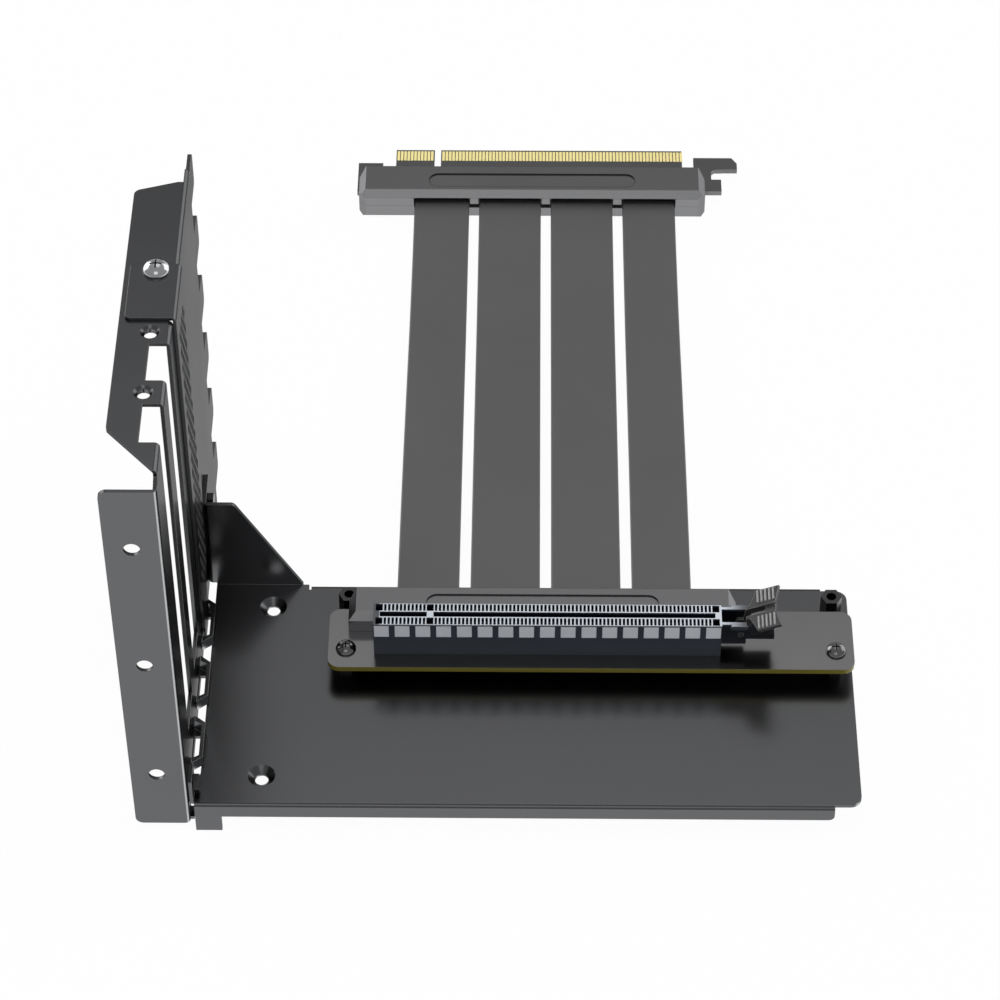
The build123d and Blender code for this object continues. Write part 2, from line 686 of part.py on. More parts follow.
# Socket: contact cavities in two rows, the keyed card slot, side windows and the lever's tower
socket_right = SOCKET_X + SOCKET_LENGTH
socket_back = SOCKET_Y + SOCKET_WIDTH
key_middle = SOCKET_X + KEY_X
short_run = KEY_X - KEY_TO_CONTACT - CONTACT_END
long_run = SOCKET_LENGTH - KEY_X - KEY_TO_CONTACT - CONTACT_END
short_count = int(short_run / CONTACT_PITCH) + 1
long_count = int(long_run / CONTACT_PITCH) + 1
short_contacts = [key_middle - KEY_TO_CONTACT - CONTACT_PITCH * k for k in range(short_count)]
long_contacts = [key_middle + KEY_TO_CONTACT + CONTACT_PITCH * k for k in range(long_count)]
contact_x = short_contacts + long_contacts
front_row = SOCKET_Y + CAVITY_WALL + CAVITY_LENGTH / 2
rear_row = socket_back - CAVITY_WALL - CAVITY_LENGTH / 2
end_cavity = END_CAVITY_INSET + END_CAVITY_WIDTH / 2
wide_cavity_x = [SOCKET_X + end_cavity, key_middle, socket_right - end_cavity]
window_count = int(SOCKET_LENGTH / WINDOW_PITCH) + 1
window_x = [SOCKET_X + WINDOW_FIRST + WINDOW_PITCH * k for k in range(window_count)]
window_z = SOCKET_TOP - WINDOW_DROP - WINDOW_HEIGHT / 2
tower_end = socket_right + TOWER_LENGTH
pivot_x = socket_right + PIVOT_X
pivot_z = SOCKET_TOP - PIVOT_DROP
pivot_bore = PIVOT_RADIUS + PIVOT_CLEARANCE
arm_inner = SOCKET_WIDTH / 2 - TOWER_INSET - ARM_THICKNESS

with BuildPart() as socket_housing:
    with BuildSketch(frontal(SOCKET_Y)):
        with BuildLine():
            Polyline(
                (SOCKET_X, BOARD_TOP),
                (SOCKET_X, SOCKET_TOP),
                (tower_end, SOCKET_TOP),
                (tower_end, BOARD_TOP + SHELF_TOP),
                (tower_end + SHELF_LENGTH, BOARD_TOP + SHELF_TOP),
                (tower_end + SHELF_LENGTH, BOARD_TOP + SHELF_BOTTOM),
                (tower_end, BOARD_TOP + SHELF_BOTTOM),
                (tower_end, BOARD_TOP + TOWER_UNDERSIDE),
                (socket_right, BOARD_TOP + TOWER_UNDERSIDE),
                (socket_right, BOARD_TOP),
                close=True,
            )
        make_face()
    extrude(amount=-SOCKET_WIDTH)
    chamfer(near(socket_housing.edges().filter_by(Axis.X), Axis.Z, BASE_Z + SOCKET_TOP), SOCKET_BEVEL)
    # The tower and the shelf that stops the lever are narrower than the socket
    with BuildSketch(level(SOCKET_TOP)):
        with Locations((socket_right, SOCKET_Y), (socket_right, socket_back - TOWER_INSET)):
            Rectangle(TOWER_LENGTH + SHELF_LENGTH, TOWER_INSET, align=CORNER)
    extrude(amount=TOWER_UNDERSIDE - SOCKET_HEIGHT, mode=Mode.SUBTRACT)
    # Space between the tower's arms
    with BuildSketch(level(SOCKET_TOP)):
        with Locations((socket_right, SOCKET_Y + SOCKET_WIDTH / 2)):
            Rectangle(TOWER_LENGTH, 2 * arm_inner, align=(Align.MIN, Align.CENTER))
    extrude(amount=BOARD_TOP + TOWER_FLOOR - SOCKET_TOP, mode=Mode.SUBTRACT)
    # Rounded rails on the arms, flush with the socket's sides
    for wall, inward in ((SOCKET_Y, -TOWER_INSET), (socket_back, TOWER_INSET)):
        with BuildSketch(frontal(wall)):
            with Locations((socket_right + BOSS_X, SOCKET_TOP - BOSS_DROP)):
                SlotOverall(BOSS_LENGTH, BOSS_HEIGHT)
        extrude(amount=inward)
    with BuildSketch(frontal(SOCKET_Y)):
        with Locations((pivot_x, pivot_z)):
            Circle(pivot_bore)
    extrude(amount=-SOCKET_WIDTH, mode=Mode.SUBTRACT)
    # Contact cavities and the wider coring at the ends and the key
    with BuildSketch(level(SOCKET_TOP)):
        for row_y in (front_row, rear_row):
            with Locations(*[(x, row_y) for x in contact_x]):
                Rectangle(CAVITY_WIDTH, CAVITY_LENGTH)
            with Locations(*[(x, row_y) for x in wide_cavity_x]):
                Rectangle(END_CAVITY_WIDTH, CAVITY_LENGTH)
    extrude(amount=-CAVITY_DEPTH, mode=Mode.SUBTRACT)
    with BuildSketch(level(SOCKET_TOP)):
        with Locations((SOCKET_X + SOCKET_LENGTH / 2, SOCKET_Y + SOCKET_WIDTH / 2)):
            Rectangle(SOCKET_LENGTH - 2 * CARD_SLOT_END, CARD_SLOT_WIDTH)
        with Locations((key_middle, SOCKET_Y + SOCKET_WIDTH / 2)):
            Rectangle(KEY_WIDTH, CARD_SLOT_WIDTH, mode=Mode.SUBTRACT)
    extrude(amount=-CARD_SLOT_DEPTH, mode=Mode.SUBTRACT)
    # Side windows for the screening pads
    for wall, inward in ((SOCKET_Y, -WINDOW_DEPTH), (socket_back, WINDOW_DEPTH)):
        with BuildSketch(frontal(wall)):
            with Locations(*[(x, window_z) for x in window_x]):
                Rectangle(WINDOW_WIDTH, WINDOW_HEIGHT)
        extrude(amount=inward, mode=Mode.SUBTRACT)
finish(socket_housing.part, "socket_housing")

# Screening pads on the floor of the windows
with BuildPart() as screening_pads:
    for wall, outward in ((SOCKET_Y + WINDOW_DEPTH, PAD_THICKNESS), (socket_back - WINDOW_DEPTH, -PAD_THICKNESS)):
        with BuildSketch(frontal(wall)):
            with Locations(*[(x, window_z) for x in window_x]):
                Rectangle(WINDOW_WIDTH, WINDOW_HEIGHT)
        extrude(amount=outward)
finish(screening_pads.part, "screening_pads")

# Spring contacts, each leaning towards the card slot
cavity_floor = SOCKET_TOP - CAVITY_DEPTH
for label, row_y, towards in (("contacts_front", front_row, 1), ("contacts_rear", rear_row, -1)):
    with BuildPart() as contacts:
        outer = row_y - towards * (CAVITY_LENGTH / 2 - BLADE_GAP)
        with BuildSketch(*[upright(x - BLADE_WIDTH / 2) for x in contact_x]):
            with BuildLine():
                Polyline(
                    (outer, cavity_floor),
                    (outer + towards * BLADE_LEAN, cavity_floor + BLADE_HEIGHT),
                    (outer + towards * (BLADE_LEAN + BLADE_TIP), cavity_floor + BLADE_HEIGHT),
                    (outer + towards * BLADE_FOOT, cavity_floor),
                    close=True,
                )
            make_face()
        extrude(amount=BLADE_WIDTH)
    finish(contacts.part, label)

# Lever: two cheeks, a web with the catch, and a ridged wing on each side
lever_plane = Plane(
    origin=level(0).from_local_coords((pivot_x, SOCKET_Y + SOCKET_WIDTH / 2, pivot_z)),
    x_dir=(cos(radians(LEVER_TILT)), 0, sin(radians(LEVER_TILT))),
    z_dir=(0, -1, 0),
)
cheek_outer = arm_inner - LEVER_GAP
wing_inner = cheek_outer - CHEEK_THICKNESS / 2
wing_outer = cheek_outer + WING_REACH
wing_plane = Plane(
    origin=lever_plane.from_local_coords((0, LEVER_RISE - WING_THICKNESS, 0)),
    x_dir=lever_plane.x_dir,
    z_dir=lever_plane.y_dir,
)

with BuildPart() as latch_lever:
    for side in (-1, 1):
        # Cheek, with its hub on the pivot and a neck that rises between the arms
        with BuildSketch(lever_plane.offset(side * cheek_outer)):
            Circle(HUB_RADIUS)
            with BuildLine():
                Polyline(
                    (NECK_START, NECK_RISE),
                    (LEVER_START, LEVER_RISE),
                    (LEVER_LENGTH, LEVER_RISE),
                    (LEVER_LENGTH, LEVER_RISE - CHEEK_HEIGHT),
                    (LEVER_START + CHEEK_THICKNESS, LEVER_RISE - CHEEK_HEIGHT),
                    (NECK_UNDER, -NECK_UNDER),
                    close=True,
                )
            make_face()
        extrude(amount=-side * CHEEK_THICKNESS)
        with BuildSketch(lever_plane.offset(side * cheek_outer)):
            Circle(PIVOT_RADIUS)
        extrude(amount=side * (ARM_THICKNESS + LEVER_GAP))
        with BuildSketch(wing_plane):
            with BuildLine():
                Polyline(
                    (WING_START, side * wing_inner),
                    (WING_START, side * cheek_outer),
                    (WING_SHOULDER, side * wing_outer),
                    (WING_END, side * wing_outer),
                    (WING_HEEL, side * wing_inner),
                    close=True,
                )
            make_face()
        extrude(amount=WING_THICKNESS)
        with BuildSketch(wing_plane.offset(WING_THICKNESS)):
            with Locations((RIB_FIRST + RIB_PITCH * (RIB_COUNT - 1) / 2, side * (cheek_outer + wing_outer) / 2)):
                with GridLocations(RIB_PITCH, 1, RIB_COUNT, 1):
                    Rectangle(RIB_WIDTH, WING_REACH - 2 * RIB_INSET)
        extrude(amount=RIB_HEIGHT)
    with BuildSketch(lever_plane.offset(-cheek_outer)):
        with Locations((LEVER_LENGTH, LEVER_RISE - CHEEK_HEIGHT)):
            Rectangle(WEB_LENGTH, WEB_HEIGHT, align=(Align.MAX, Align.MIN))
    extrude(amount=2 * cheek_outer)
finish(latch_lever.part, "latch_lever")

# Ribbons, side by side, from the riser board down to the plug
riser_mid = BOARD_Z + BOARD_THICKNESS / 2
plug_mid = PLUG_HEIGHT / 2 - TAB_DROP
ribbon_start = RISER_SHELL_REAR - RIBBON_POCKET
ribbon_end = PLUG_FRONT + RIBBON_POCKET
ribbon_route = [
    (ribbon_start, riser_mid),
    (98.0, riser_mid),
    (143.0, 1.2),
    (190.0, plug_mid),
    (ribbon_end, plug_mid),
]
route_planes = [Vector(y, z) for y, z in ribbon_route]
ribbon_radii = []
for before, here, after in zip(route_planes, route_planes[1:], route_planes[2:]):
    turn = (here - before).get_angle(after - here)
    shorter = min((here - before).length, (after - here).length)
    ribbon_radii.append(0.45 * shorter / tan(radians(turn) / 2))
print("ribbon radii", [round(radius, 1) for radius in ribbon_radii])

ribbon_left = [RIBBON_FIRST_X]
for width in RIBBON_WIDTHS[:-1]:
    ribbon_left.append(ribbon_left[-1] + width + RIBBON_GAP)
ribbon_middles = [left + width / 2 for left, width in zip(ribbon_left, RIBBON_WIDTHS)]

for number, (middle, width) in enumerate(zip(ribbon_middles, RIBBON_WIDTHS), start=1):
    with BuildPart() as ribbon:
        with BuildLine(upright(middle)) as ribbon_line:
            FilletPolyline(*ribbon_route, radius=ribbon_radii)
        start_plane = frontal(ribbon_start)
        with BuildSketch(start_plane.offset(0)):
            with Locations((middle, riser_mid)):
                Rectangle(width, RIBBON_THICKNESS)
        sweep()
    ribbon_length = ribbon_line.wires()[0].length
    print(
        f"ribbon_{number}",
        "length",
        round(ribbon_length, 2),
        "volume over section times length",
        round(ribbon.part.volume / (width * RIBBON_THICKNESS * ribbon_length), 4),
    )
    finish(ribbon.part, f"ribbon_{number}")


def shell_half(plane, length, depth, height, bevel, corner):
    """Half shell on its parting plane: bevelled in front and at the ends, with its corners cut."""
    with BuildSketch(plane) as block:
        Rectangle(length, depth, align=CORNER)
    solid = extrude(block.sketch, amount=height)
    outer_face = solid.faces().sort_by(Axis.Z)[-1 if height > 0 else 0]
    chamfer(outer_face.edges().sort_by(Axis.Y)[:-1], bevel)
    with BuildSketch(plane) as outline:
        with BuildLine():
            Polyline(
                (0, 0),
                (length, 0),
                (length, depth - SHELL_CUT_RUN),
                (length - SHELL_CUT_SIDE, depth),
                (SHELL_CUT_SIDE, depth),
                (0, depth - SHELL_CUT_RUN),
                close=True,
            )
        make_face()
        if corner > 0:
            chamfer(outline.vertices().group_by(Axis.Y)[0], corner)
    extrude(outline.sketch, amount=height, mode=Mode.INTERSECT)


# Shells over the ribbon joint on the riser board
riser_front = socket_back + SHELL_GAP
riser_depth = RISER_SHELL_REAR - riser_front
board_back = BOARD_Y + BOARD_DEPTH
ribbon_slot = RIBBON_THICKNESS / 2 + RIBBON_CLEARANCE
lip_depth = RISER_SHELL_REAR - board_back - SHELL_GAP


def corner_plane(x, y, height):
    """Horizontal plane with its origin at a place over the base plate."""
    return Plane(origin=level(0).from_local_coords((x, y, height)))


with BuildPart() as riser_shell_upper:
    shell_half(
        corner_plane(RISER_SHELL_X, riser_front, BOARD_TOP),
        RISER_SHELL_LENGTH,
        riser_depth,
        RISER_SHELL_RISE,
        SHELL_BEVEL,
        0,
    )
    with BuildSketch(corner_plane(RISER_SHELL_X, riser_front, BOARD_TOP + RISER_SHELL_RISE)):
        with Locations((RISER_SHELL_LENGTH / 2, riser_depth / 2)):
            SlotOverall(RISER_PANEL_LENGTH, RISER_PANEL_WIDTH)
    extrude(amount=-PANEL_DEPTH, mode=Mode.SUBTRACT)
    with BuildSketch(frontal(RISER_SHELL_REAR)):
        for middle, width in zip(ribbon_middles, RIBBON_WIDTHS):
            with Locations((middle, BOARD_TOP)):
                Rectangle(width + 2 * RIBBON_CLEARANCE, 2 * RIBBON_THICKNESS, align=(Align.CENTER, Align.MIN))
    extrude(amount=RIBBON_POCKET, mode=Mode.SUBTRACT)
finish(riser_shell_upper.part, "riser_shell_upper")

with BuildPart() as riser_shell_lower:
    shell_half(
        corner_plane(RISER_SHELL_X, riser_front, BOARD_Z),
        RISER_SHELL_LENGTH,
        riser_depth,
        -RISER_SHELL_DROP,
        SHELL_LOWER_BEVEL,
        0,
    )
    # Wall behind the board that the upper shell closes on, open where the ribbons pass
    with BuildSketch(corner_plane(RISER_SHELL_X, RISER_SHELL_REAR, BOARD_Z)):
        with Locations((SHELL_CUT_SIDE, 0)):
            Rectangle(RISER_SHELL_LENGTH - 2 * SHELL_CUT_SIDE, lip_depth, align=HANGING)
    extrude(amount=BOARD_THICKNESS)
    with BuildSketch(frontal(RISER_SHELL_REAR)):
        for middle, width in zip(ribbon_middles, RIBBON_WIDTHS):
            with Locations((middle, riser_mid)):
                Rectangle(width + 2 * RIBBON_CLEARANCE, 2 * ribbon_slot + BOARD_THICKNESS)
    extrude(amount=RIBBON_POCKET, mode=Mode.SUBTRACT)
finish(riser_shell_lower.part, "riser_shell_lower")

# Plug shells, parted along the card
plug_bottom = -TAB_DROP
half_height = PLUG_HEIGHT / 2
card_seat = CARD_THICKNESS / 2
card_foot_y = PLUG_FRONT + CARD_FOOT
ribbon_zone_start = ribbon_left[0] - RIBBON_CLEARANCE
ribbon_zone_end = ribbon_left[-1] + RIBBON_WIDTHS[-1] + RIBBON_CLEARANCE

for label, way in (("plug_shell_upper", 1), ("plug_shell_lower", -1)):
    with BuildPart() as plug_shell:
        shell_half(
            corner_plane(PLUG_X, PLUG_FRONT, plug_mid),
            PLUG_LENGTH,
            PLUG_DEPTH,
            way * half_height,
            SHELL_BEVEL if way > 0 else SHELL_LOWER_BEVEL,
            SHELL_CORNER,
        )
        # Seat for the card, parting gap beside the ribbons and a mouth over each ribbon
        with BuildSketch(corner_plane(CARD_LEFT - SHELL_GAP, card_foot_y, plug_mid)):
            Rectangle(PLUG_LENGTH + 2 * SHELL_CORNER, PLUG_DEPTH, align=CORNER)
        extrude(amount=way * card_seat, mode=Mode.SUBTRACT)
        with BuildSketch(corner_plane(ribbon_zone_start, PLUG_FRONT, plug_mid)):
            Rectangle(ribbon_zone_end - ribbon_zone_start, RIBBON_POCKET, align=CORNER)
        extrude(amount=way * PLUG_PART_GAP / 2, mode=Mode.SUBTRACT)
        with BuildSketch(level(plug_mid)):
            for middle, width in zip(ribbon_middles, RIBBON_WIDTHS):
                with Locations((middle, PLUG_FRONT)):
                    Rectangle(width + 2 * RIBBON_CLEARANCE, RIBBON_POCKET, align=(Align.CENTER, Align.MIN))
        extrude(amount=way * (half_height - SHELL_BEVEL if way > 0 else ribbon_slot), mode=Mode.SUBTRACT)
        if way > 0:
            with BuildSketch(corner_plane(PLUG_X, PLUG_FRONT, plug_mid + half_height)):
                with Locations((PLUG_LENGTH / 2, PLUG_DEPTH / 2)):
                    SlotOverall(PLUG_PANEL_LENGTH, PLUG_PANEL_WIDTH)
            extrude(amount=-PANEL_DEPTH, mode=Mode.SUBTRACT)
    finish(plug_shell.part, label)

# Edge card with its key notch, left ear and retention hook
card_tip_y = PLUG_FRONT + CARD_TIP
notch_y = card_tip_y - CARD_NOTCH_DEPTH
short_end = CARD_EDGE_X + CARD_SHORT_TAB
long_start = short_end + CARD_NOTCH
long_end = long_start + CARD_LONG_TAB
ear_end = CARD_LEFT + CARD_EAR_WIDTH
hook_start = long_end + HOOK_GAP
hook_end = hook_start + HOOK_LENGTH
hook_top = card_tip_y - HOOK_DROP
mouth_top = card_tip_y - HOOK_MOUTH_TOP
mouth_bottom = card_tip_y - HOOK_MOUTH_BOTTOM
mouth_left = hook_end - HOOK_MOUTH_DEPTH
finger_end = mouth_left + HOOK_FINGER
notch_radius = CARD_NOTCH / 2

with BuildPart() as plug_card:
    with BuildSketch(level(plug_mid - CARD_THICKNESS / 2)) as card_outline:
        with BuildLine():
            Polyline(
                (CARD_LEFT, card_foot_y),
                (CARD_LEFT, card_tip_y - CARD_EAR_DROP),
                (ear_end, card_tip_y - CARD_EAR_DROP),
                (ear_end, notch_y),
                (CARD_EDGE_X, notch_y),
                (CARD_EDGE_X, card_tip_y),
                (short_end, card_tip_y),
                (short_end, notch_y + notch_radius),
            )
            ThreePointArc(
                (short_end, notch_y + notch_radius),
                (short_end + notch_radius, notch_y),
                (long_start, notch_y + notch_radius),
            )
            Polyline(
                (long_start, notch_y + notch_radius),
                (long_start, card_tip_y),
                (long_end, card_tip_y),
                (long_end, notch_y),
                (hook_start, notch_y),
                (hook_start, hook_top),
                (hook_end - HOOK_CUT_SIDE, hook_top),
                (hook_end, hook_top - HOOK_CUT_RUN),
                (hook_end, mouth_top),
                (mouth_left + HOOK_MOUTH_CORNER, mouth_top),
                (mouth_left, mouth_top - HOOK_MOUTH_CORNER),
                (mouth_left, mouth_bottom),
                (finger_end, mouth_bottom),
                (finger_end, card_tip_y - HOOK_FINGER_BOTTOM),
                (long_end, card_tip_y - HOOK_FINGER_BOTTOM),
                (long_end, card_foot_y),
                (CARD_LEFT, card_foot_y),
            )
        make_face()
        with Locations(*[(hook_end - HOOK_TOOTH * (k + 0.5), mouth_top) for k in range(HOOK_TEETH)]):
            Rectangle(HOOK_TOOTH / 2, HOOK_TOOTH / 2, align=(Align.CENTER, Align.CENTER), mode=Mode.SUBTRACT)
    extrude(amount=CARD_THICKNESS)
    tip_edges = near(plug_card.edges().filter_by(Axis.X), Axis.Y, BASE_Y + card_tip_y)
    chamfer(tip_edges, EDGE_BEVEL)
finish(plug_card.part, "plug_card")

# Gold fingers on both faces of the card
finger_short = [short_end - FINGER_SIDE - CONTACT_PITCH * k for k in range(int(CARD_SHORT_TAB / CONTACT_PITCH))]
finger_long = [long_start + FINGER_SIDE + CONTACT_PITCH * k for k in range(int(CARD_LONG_TAB / CONTACT_PITCH))]
finger_y = card_tip_y - EDGE_BEVEL - FINGER_INSET - FINGER_LENGTH / 2
for label, way in (("plug_fingers_upper", 1), ("plug_fingers_lower", -1)):
    with BuildPart() as fingers:
        with BuildSketch(level(plug_mid + way * CARD_THICKNESS / 2)):
            with Locations(*[(x, finger_y) for x in finger_short + finger_long]):
                Rectangle(FINGER_WIDTH, FINGER_LENGTH)
        extrude(amount=way * FINGER_THICKNESS)
    finish(fingers.part, label)
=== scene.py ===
"""Riser cable on its card bracket: finishes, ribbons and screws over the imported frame.

Metres, in the row frame: X along the socket, Y back towards the plug, Z up.
"""

import math

import bmesh
import bpy
from bpy.props import FloatProperty, FloatVectorProperty, PointerProperty
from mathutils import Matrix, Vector


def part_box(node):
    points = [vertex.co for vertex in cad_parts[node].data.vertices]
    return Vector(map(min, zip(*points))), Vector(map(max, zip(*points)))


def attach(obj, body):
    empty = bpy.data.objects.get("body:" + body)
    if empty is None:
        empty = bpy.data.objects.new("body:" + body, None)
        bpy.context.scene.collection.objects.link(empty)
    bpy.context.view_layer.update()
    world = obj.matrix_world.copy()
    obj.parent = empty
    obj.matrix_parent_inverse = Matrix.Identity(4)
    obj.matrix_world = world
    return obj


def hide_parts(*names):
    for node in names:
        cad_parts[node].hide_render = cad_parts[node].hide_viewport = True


bl_info = {
    "name": "Riser Cable Finish",
    "version": (1, 0, 0),
    "blender": (4, 5, 0),
    "location": "3D View > Sidebar > Riser",
    "description": "Finishes a ribbon riser cable and its card bracket",
    "category": "Object",
}

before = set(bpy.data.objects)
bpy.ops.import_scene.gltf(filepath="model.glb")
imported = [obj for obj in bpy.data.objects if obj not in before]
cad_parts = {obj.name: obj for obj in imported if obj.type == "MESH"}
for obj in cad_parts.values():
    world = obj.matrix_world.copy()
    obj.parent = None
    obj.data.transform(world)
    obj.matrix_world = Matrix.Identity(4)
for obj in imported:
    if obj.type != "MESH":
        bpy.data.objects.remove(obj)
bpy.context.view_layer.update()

MM = 0.001
BODY = "riser"

# The lever's hinge, its lean and how high its wings lie above the hinge
LEVER_PIVOT = Vector((0.0615, -0.009, 0.0237))
LEVER_TILT = math.radians(22.0)
LEVER_RISE = 4.15 * MM
# The lever's ridge tops, higher than this above its wings, get a painted highlight colour
RIDGE_START = 0.15 * MM
RIDGE_HIGHLIGHT = (0.3, 0.3, 0.31)

# Slot-shaped panels in the shells, as length and width, and the thin gap round them, which gets a line of
# painted shade
PANELS = {
    "riser_shell_upper": (60.0 * MM, 5.6 * MM),
    "plug_shell_upper": (60.8 * MM, 5.8 * MM),
    "plug_shell_lower": (60.8 * MM, 5.8 * MM),
}
PANEL_GAP = 0.13 * MM
GAP_SHADE = (0.085, 0.085, 0.087)

# Where the socket's painted reflection and painted shade lie, as distances in from its top, its sides and
# its ends
RIM_DEPTH = 0.12 * MM
RIM_INSET = 0.16 * MM
BLIND_END = 1.5 * MM
ARM_FADE_START = 13.6 * MM
ARM_FADE_END = 8.0 * MM
CAVITY_DEPTH = 0.7 * MM
CAVITY_INSET = 0.28 * MM
CAVITY_SHADE = (0.003, 0.004, 0.009)

# How much of a finish's colour each darker place keeps: the first three dim the socket's painted
# reflection, the recess share gives painted shade in the screws' cross, the rest are the parts' own
# colours
RIM_SIDE_SHARE = 0.35
BLIND_SHARE = 0.13
ARM_SHARE = 0.18
SPRING_SHARE = 0.1
OXIDE_SHARE = 0.4
RECESS_SHADE_SHARE = 0.25
CARD_SHARE = 0.84
CARD_EDGE = (0.3, 0.3, 0.3)

# Painted highlights: light lines on edges, by how far the softened normal agrees with the surface's own,
# and on upright bends, by the product of the normal's X and Y
EDGE_START = 0.99
EDGE_FULL = 0.8
EDGE_HIGHLIGHT = (0.8, 0.8, 0.81)
BEND_START = -0.36
BEND_FULL = -0.5
BEND_SHARE = 0.75
BEND_HIGHLIGHT = (0.75, 0.76, 0.78)

# A board's normal is more upright than this on its faces and less on its sides
FACE_TURN = 0.9

# Slow drift in tone, in changes per metre, the grain's height as a share of its size,
# and the pitch of a ribbon's conductors
DRIFT_SCALE = 38.0
GRAIN_HEIGHT = 0.2
CONDUCTOR_PITCH = 1.1 * MM

# Screws with a domed head: record slot, head height and shank radius
SCREWS = {
    "cover_screw": ("bright_screw", 2.5 * MM, 1.6 * MM),
    "board_screw_left": ("dark_screw", 1.9 * MM, 1.25 * MM),
    "board_screw_right": ("dark_screw", 1.9 * MM, 1.25 * MM),
}
SHANK_LENGTH = 5.0 * MM
SHANK_TIP = 0.75
SMOOTH_BELOW = math.radians(35)

# The cross recess, as shares of the head's radius and height
RECESS_SPAN = 1.55
RECESS_WIDTH = 0.22
RECESS_DEPTH = 0.6
RECESS_TIP = 0.25

# The ribbons' route, as control points from the socket's shells to the plug's shells
RIBBON_BACK = (0.00325, 0.04035, 0.08535, 0.13235, 0.17605)
RIBBON_RISE = (0.0156, 0.0156, 0.0110, 0.00475, 0.00475)
RIBBON_NAMES = ("ribbon_1", "ribbon_2", "ribbon_3", "ribbon_4")
RIBBON_ROUND = 0.42

# Soft lamps: place, aim, size, watts and whether shiny surfaces show them.
# The overhead lamp lights the matt surfaces and leaves no square in the shiny ones.
LAMPS = {
    "overhead": ((0.1, -0.15, 1.5), (0, 0.05, 0), 1.15, 14.0, False),
    "behind": ((0.15, 2.26, 4.24), (0, 0, 0), 2.4, 9.3, True),
    "front": ((-0.05, -0.82, 1.13), (0, 0.15, 0), 0.6, 0.8, True),
    "right": ((1.2, 0.95, 0.5), (0, 0.1, 0.03), 1.3, 5.7, True),
    "left": ((-1.2, 0.95, 0.5), (0, 0.1, 0.03), 1.3, 9.3, True),
}
WHITE = (1.0, 1.0, 1.0, 1.0)
FLOOR_SIZE = 6.0
FLOOR_TONE = 0.82
FLOOR_GLOW = 0.97
SENSOR_WIDTH = 36.0


class RiserColours(bpy.types.PropertyGroup):
    """Colours of the riser's finishes."""

    paint: FloatVectorProperty(
        name="Bracket paint",
        description="Powder coat on the folded sheet metal",
        subtype="COLOR",
        size=3,
        min=0.0,
        max=1.0,
        default=(0.151, 0.153, 0.158),
    )
    jacket: FloatVectorProperty(
        name="Ribbon jacket",
        description="Soft jacket of the flat ribbons",
        subtype="COLOR",
        size=3,
        min=0.0,
        max=1.0,
        default=(0.078, 0.078, 0.08),
    )
    shell: FloatVectorProperty(
        name="Shells",
        description="Moulded shells over the cable's ends",
        subtype="COLOR",
        size=3,
        min=0.0,
        max=1.0,
        default=(0.258, 0.259, 0.265),
    )
    mask: FloatVectorProperty(
        name="Board mask",
        description="Solder mask on the boards",
        subtype="COLOR",
        size=3,
        min=0.0,
        max=1.0,
        default=(0.255, 0.255, 0.26),
    )
    laminate: FloatVectorProperty(
        name="Board edge",
        description="Bare laminate along the boards' edges",
        subtype="COLOR",
        size=3,
        min=0.0,
        max=1.0,
        default=(0.21, 0.182, 0.028),
    )
    housing: FloatVectorProperty(
        name="Socket",
        description="Moulded socket housing",
        subtype="COLOR",
        size=3,
        min=0.0,
        max=1.0,
        default=(0.036, 0.044, 0.06),
    )
    # Painted reflection: the colour that lightens the socket's top
    painted_highlight: FloatVectorProperty(
        name="Socket rim",
        description="Pale rim along the top of the socket",
        subtype="COLOR",
        size=3,
        min=0.0,
        max=1.0,
        default=(0.6, 0.64, 0.7),
    )
    pads: FloatVectorProperty(
        name="Screening pads",
        description="Metal pads in the socket's side windows",
        subtype="COLOR",
        size=3,
        min=0.0,
        max=1.0,
        default=(0.78, 0.805, 0.86),
    )
    lever: FloatVectorProperty(
        name="Lever",
        description="Moulded retention lever",
        subtype="COLOR",
        size=3,
        min=0.0,
        max=1.0,
        default=(0.032, 0.032, 0.031),
    )
    gold: FloatVectorProperty(
        name="Gold",
        description="Plating on the edge card's fingers",
        subtype="COLOR",
        size=3,
        min=0.0,
        max=1.0,
        default=(1.0, 0.84, 0.36),
    )
    steel: FloatVectorProperty(
        name="Bright steel",
        description="Bright plating of the cover's screw",
        subtype="COLOR",
        size=3,
        min=0.0,
        max=1.0,
        default=(0.7, 0.71, 0.73),
    )
    dark_steel: FloatVectorProperty(
        name="Dark steel",
        description="Dark nickel of the board's screws and standoffs",
        subtype="COLOR",
        size=3,
        min=0.0,
        max=1.0,
        default=(0.24, 0.24, 0.245),
    )


class RiserSizes(bpy.types.PropertyGroup):
    """Sizes of the ribbons, screws and surface grain."""

    ribbon_thickness: FloatProperty(
        name="Ribbon thickness",
        description="Thickness of each flat ribbon",
        subtype="DISTANCE",
        unit="LENGTH",
        default=0.0011,
    )
    paint_grain: FloatProperty(
        name="Paint grain",
        description="Size of the powder coat's texture",
        subtype="DISTANCE",
        unit="LENGTH",
        default=0.00025,
    )
    mould_grain: FloatProperty(
        name="Mould grain",
        description="Size of the moulded plastic's texture",
        subtype="DISTANCE",
        unit="LENGTH",
        default=0.00012,
    )
    edge_softness: FloatProperty(
        name="Edge softness",
        description="Radius of the soft highlight along edges",
        subtype="DISTANCE",
        unit="LENGTH",
        default=0.00018,
    )


class RiserStage(bpy.types.PropertyGroup):
    """Camera and light of the studio."""

    lens: FloatProperty(
        name="Lens",
        description="Focal length of the camera",
        subtype="DISTANCE_CAMERA",
        unit="CAMERA",
        default=129.25,
    )
    place: FloatVectorProperty(
        name="Camera place",
        description="Where the camera stands",
        subtype="TRANSLATION",
        unit="LENGTH",
        size=3,
        default=(0.00761, -0.62333, 0.70935),
    )
    tilt: FloatVectorProperty(
        name="Camera tilt",
        description="Angles of the camera about X, Y and Z",
        subtype="EULER",
        unit="ROTATION",
        size=3,
        default=(math.radians(43.853), math.radians(0.141), math.radians(0.556)),
    )
    sky: FloatProperty(
        name="Sky",
        description="Strength of the studio's even light",
        min=0.0,
        default=0.3,
    )


# Node helpers


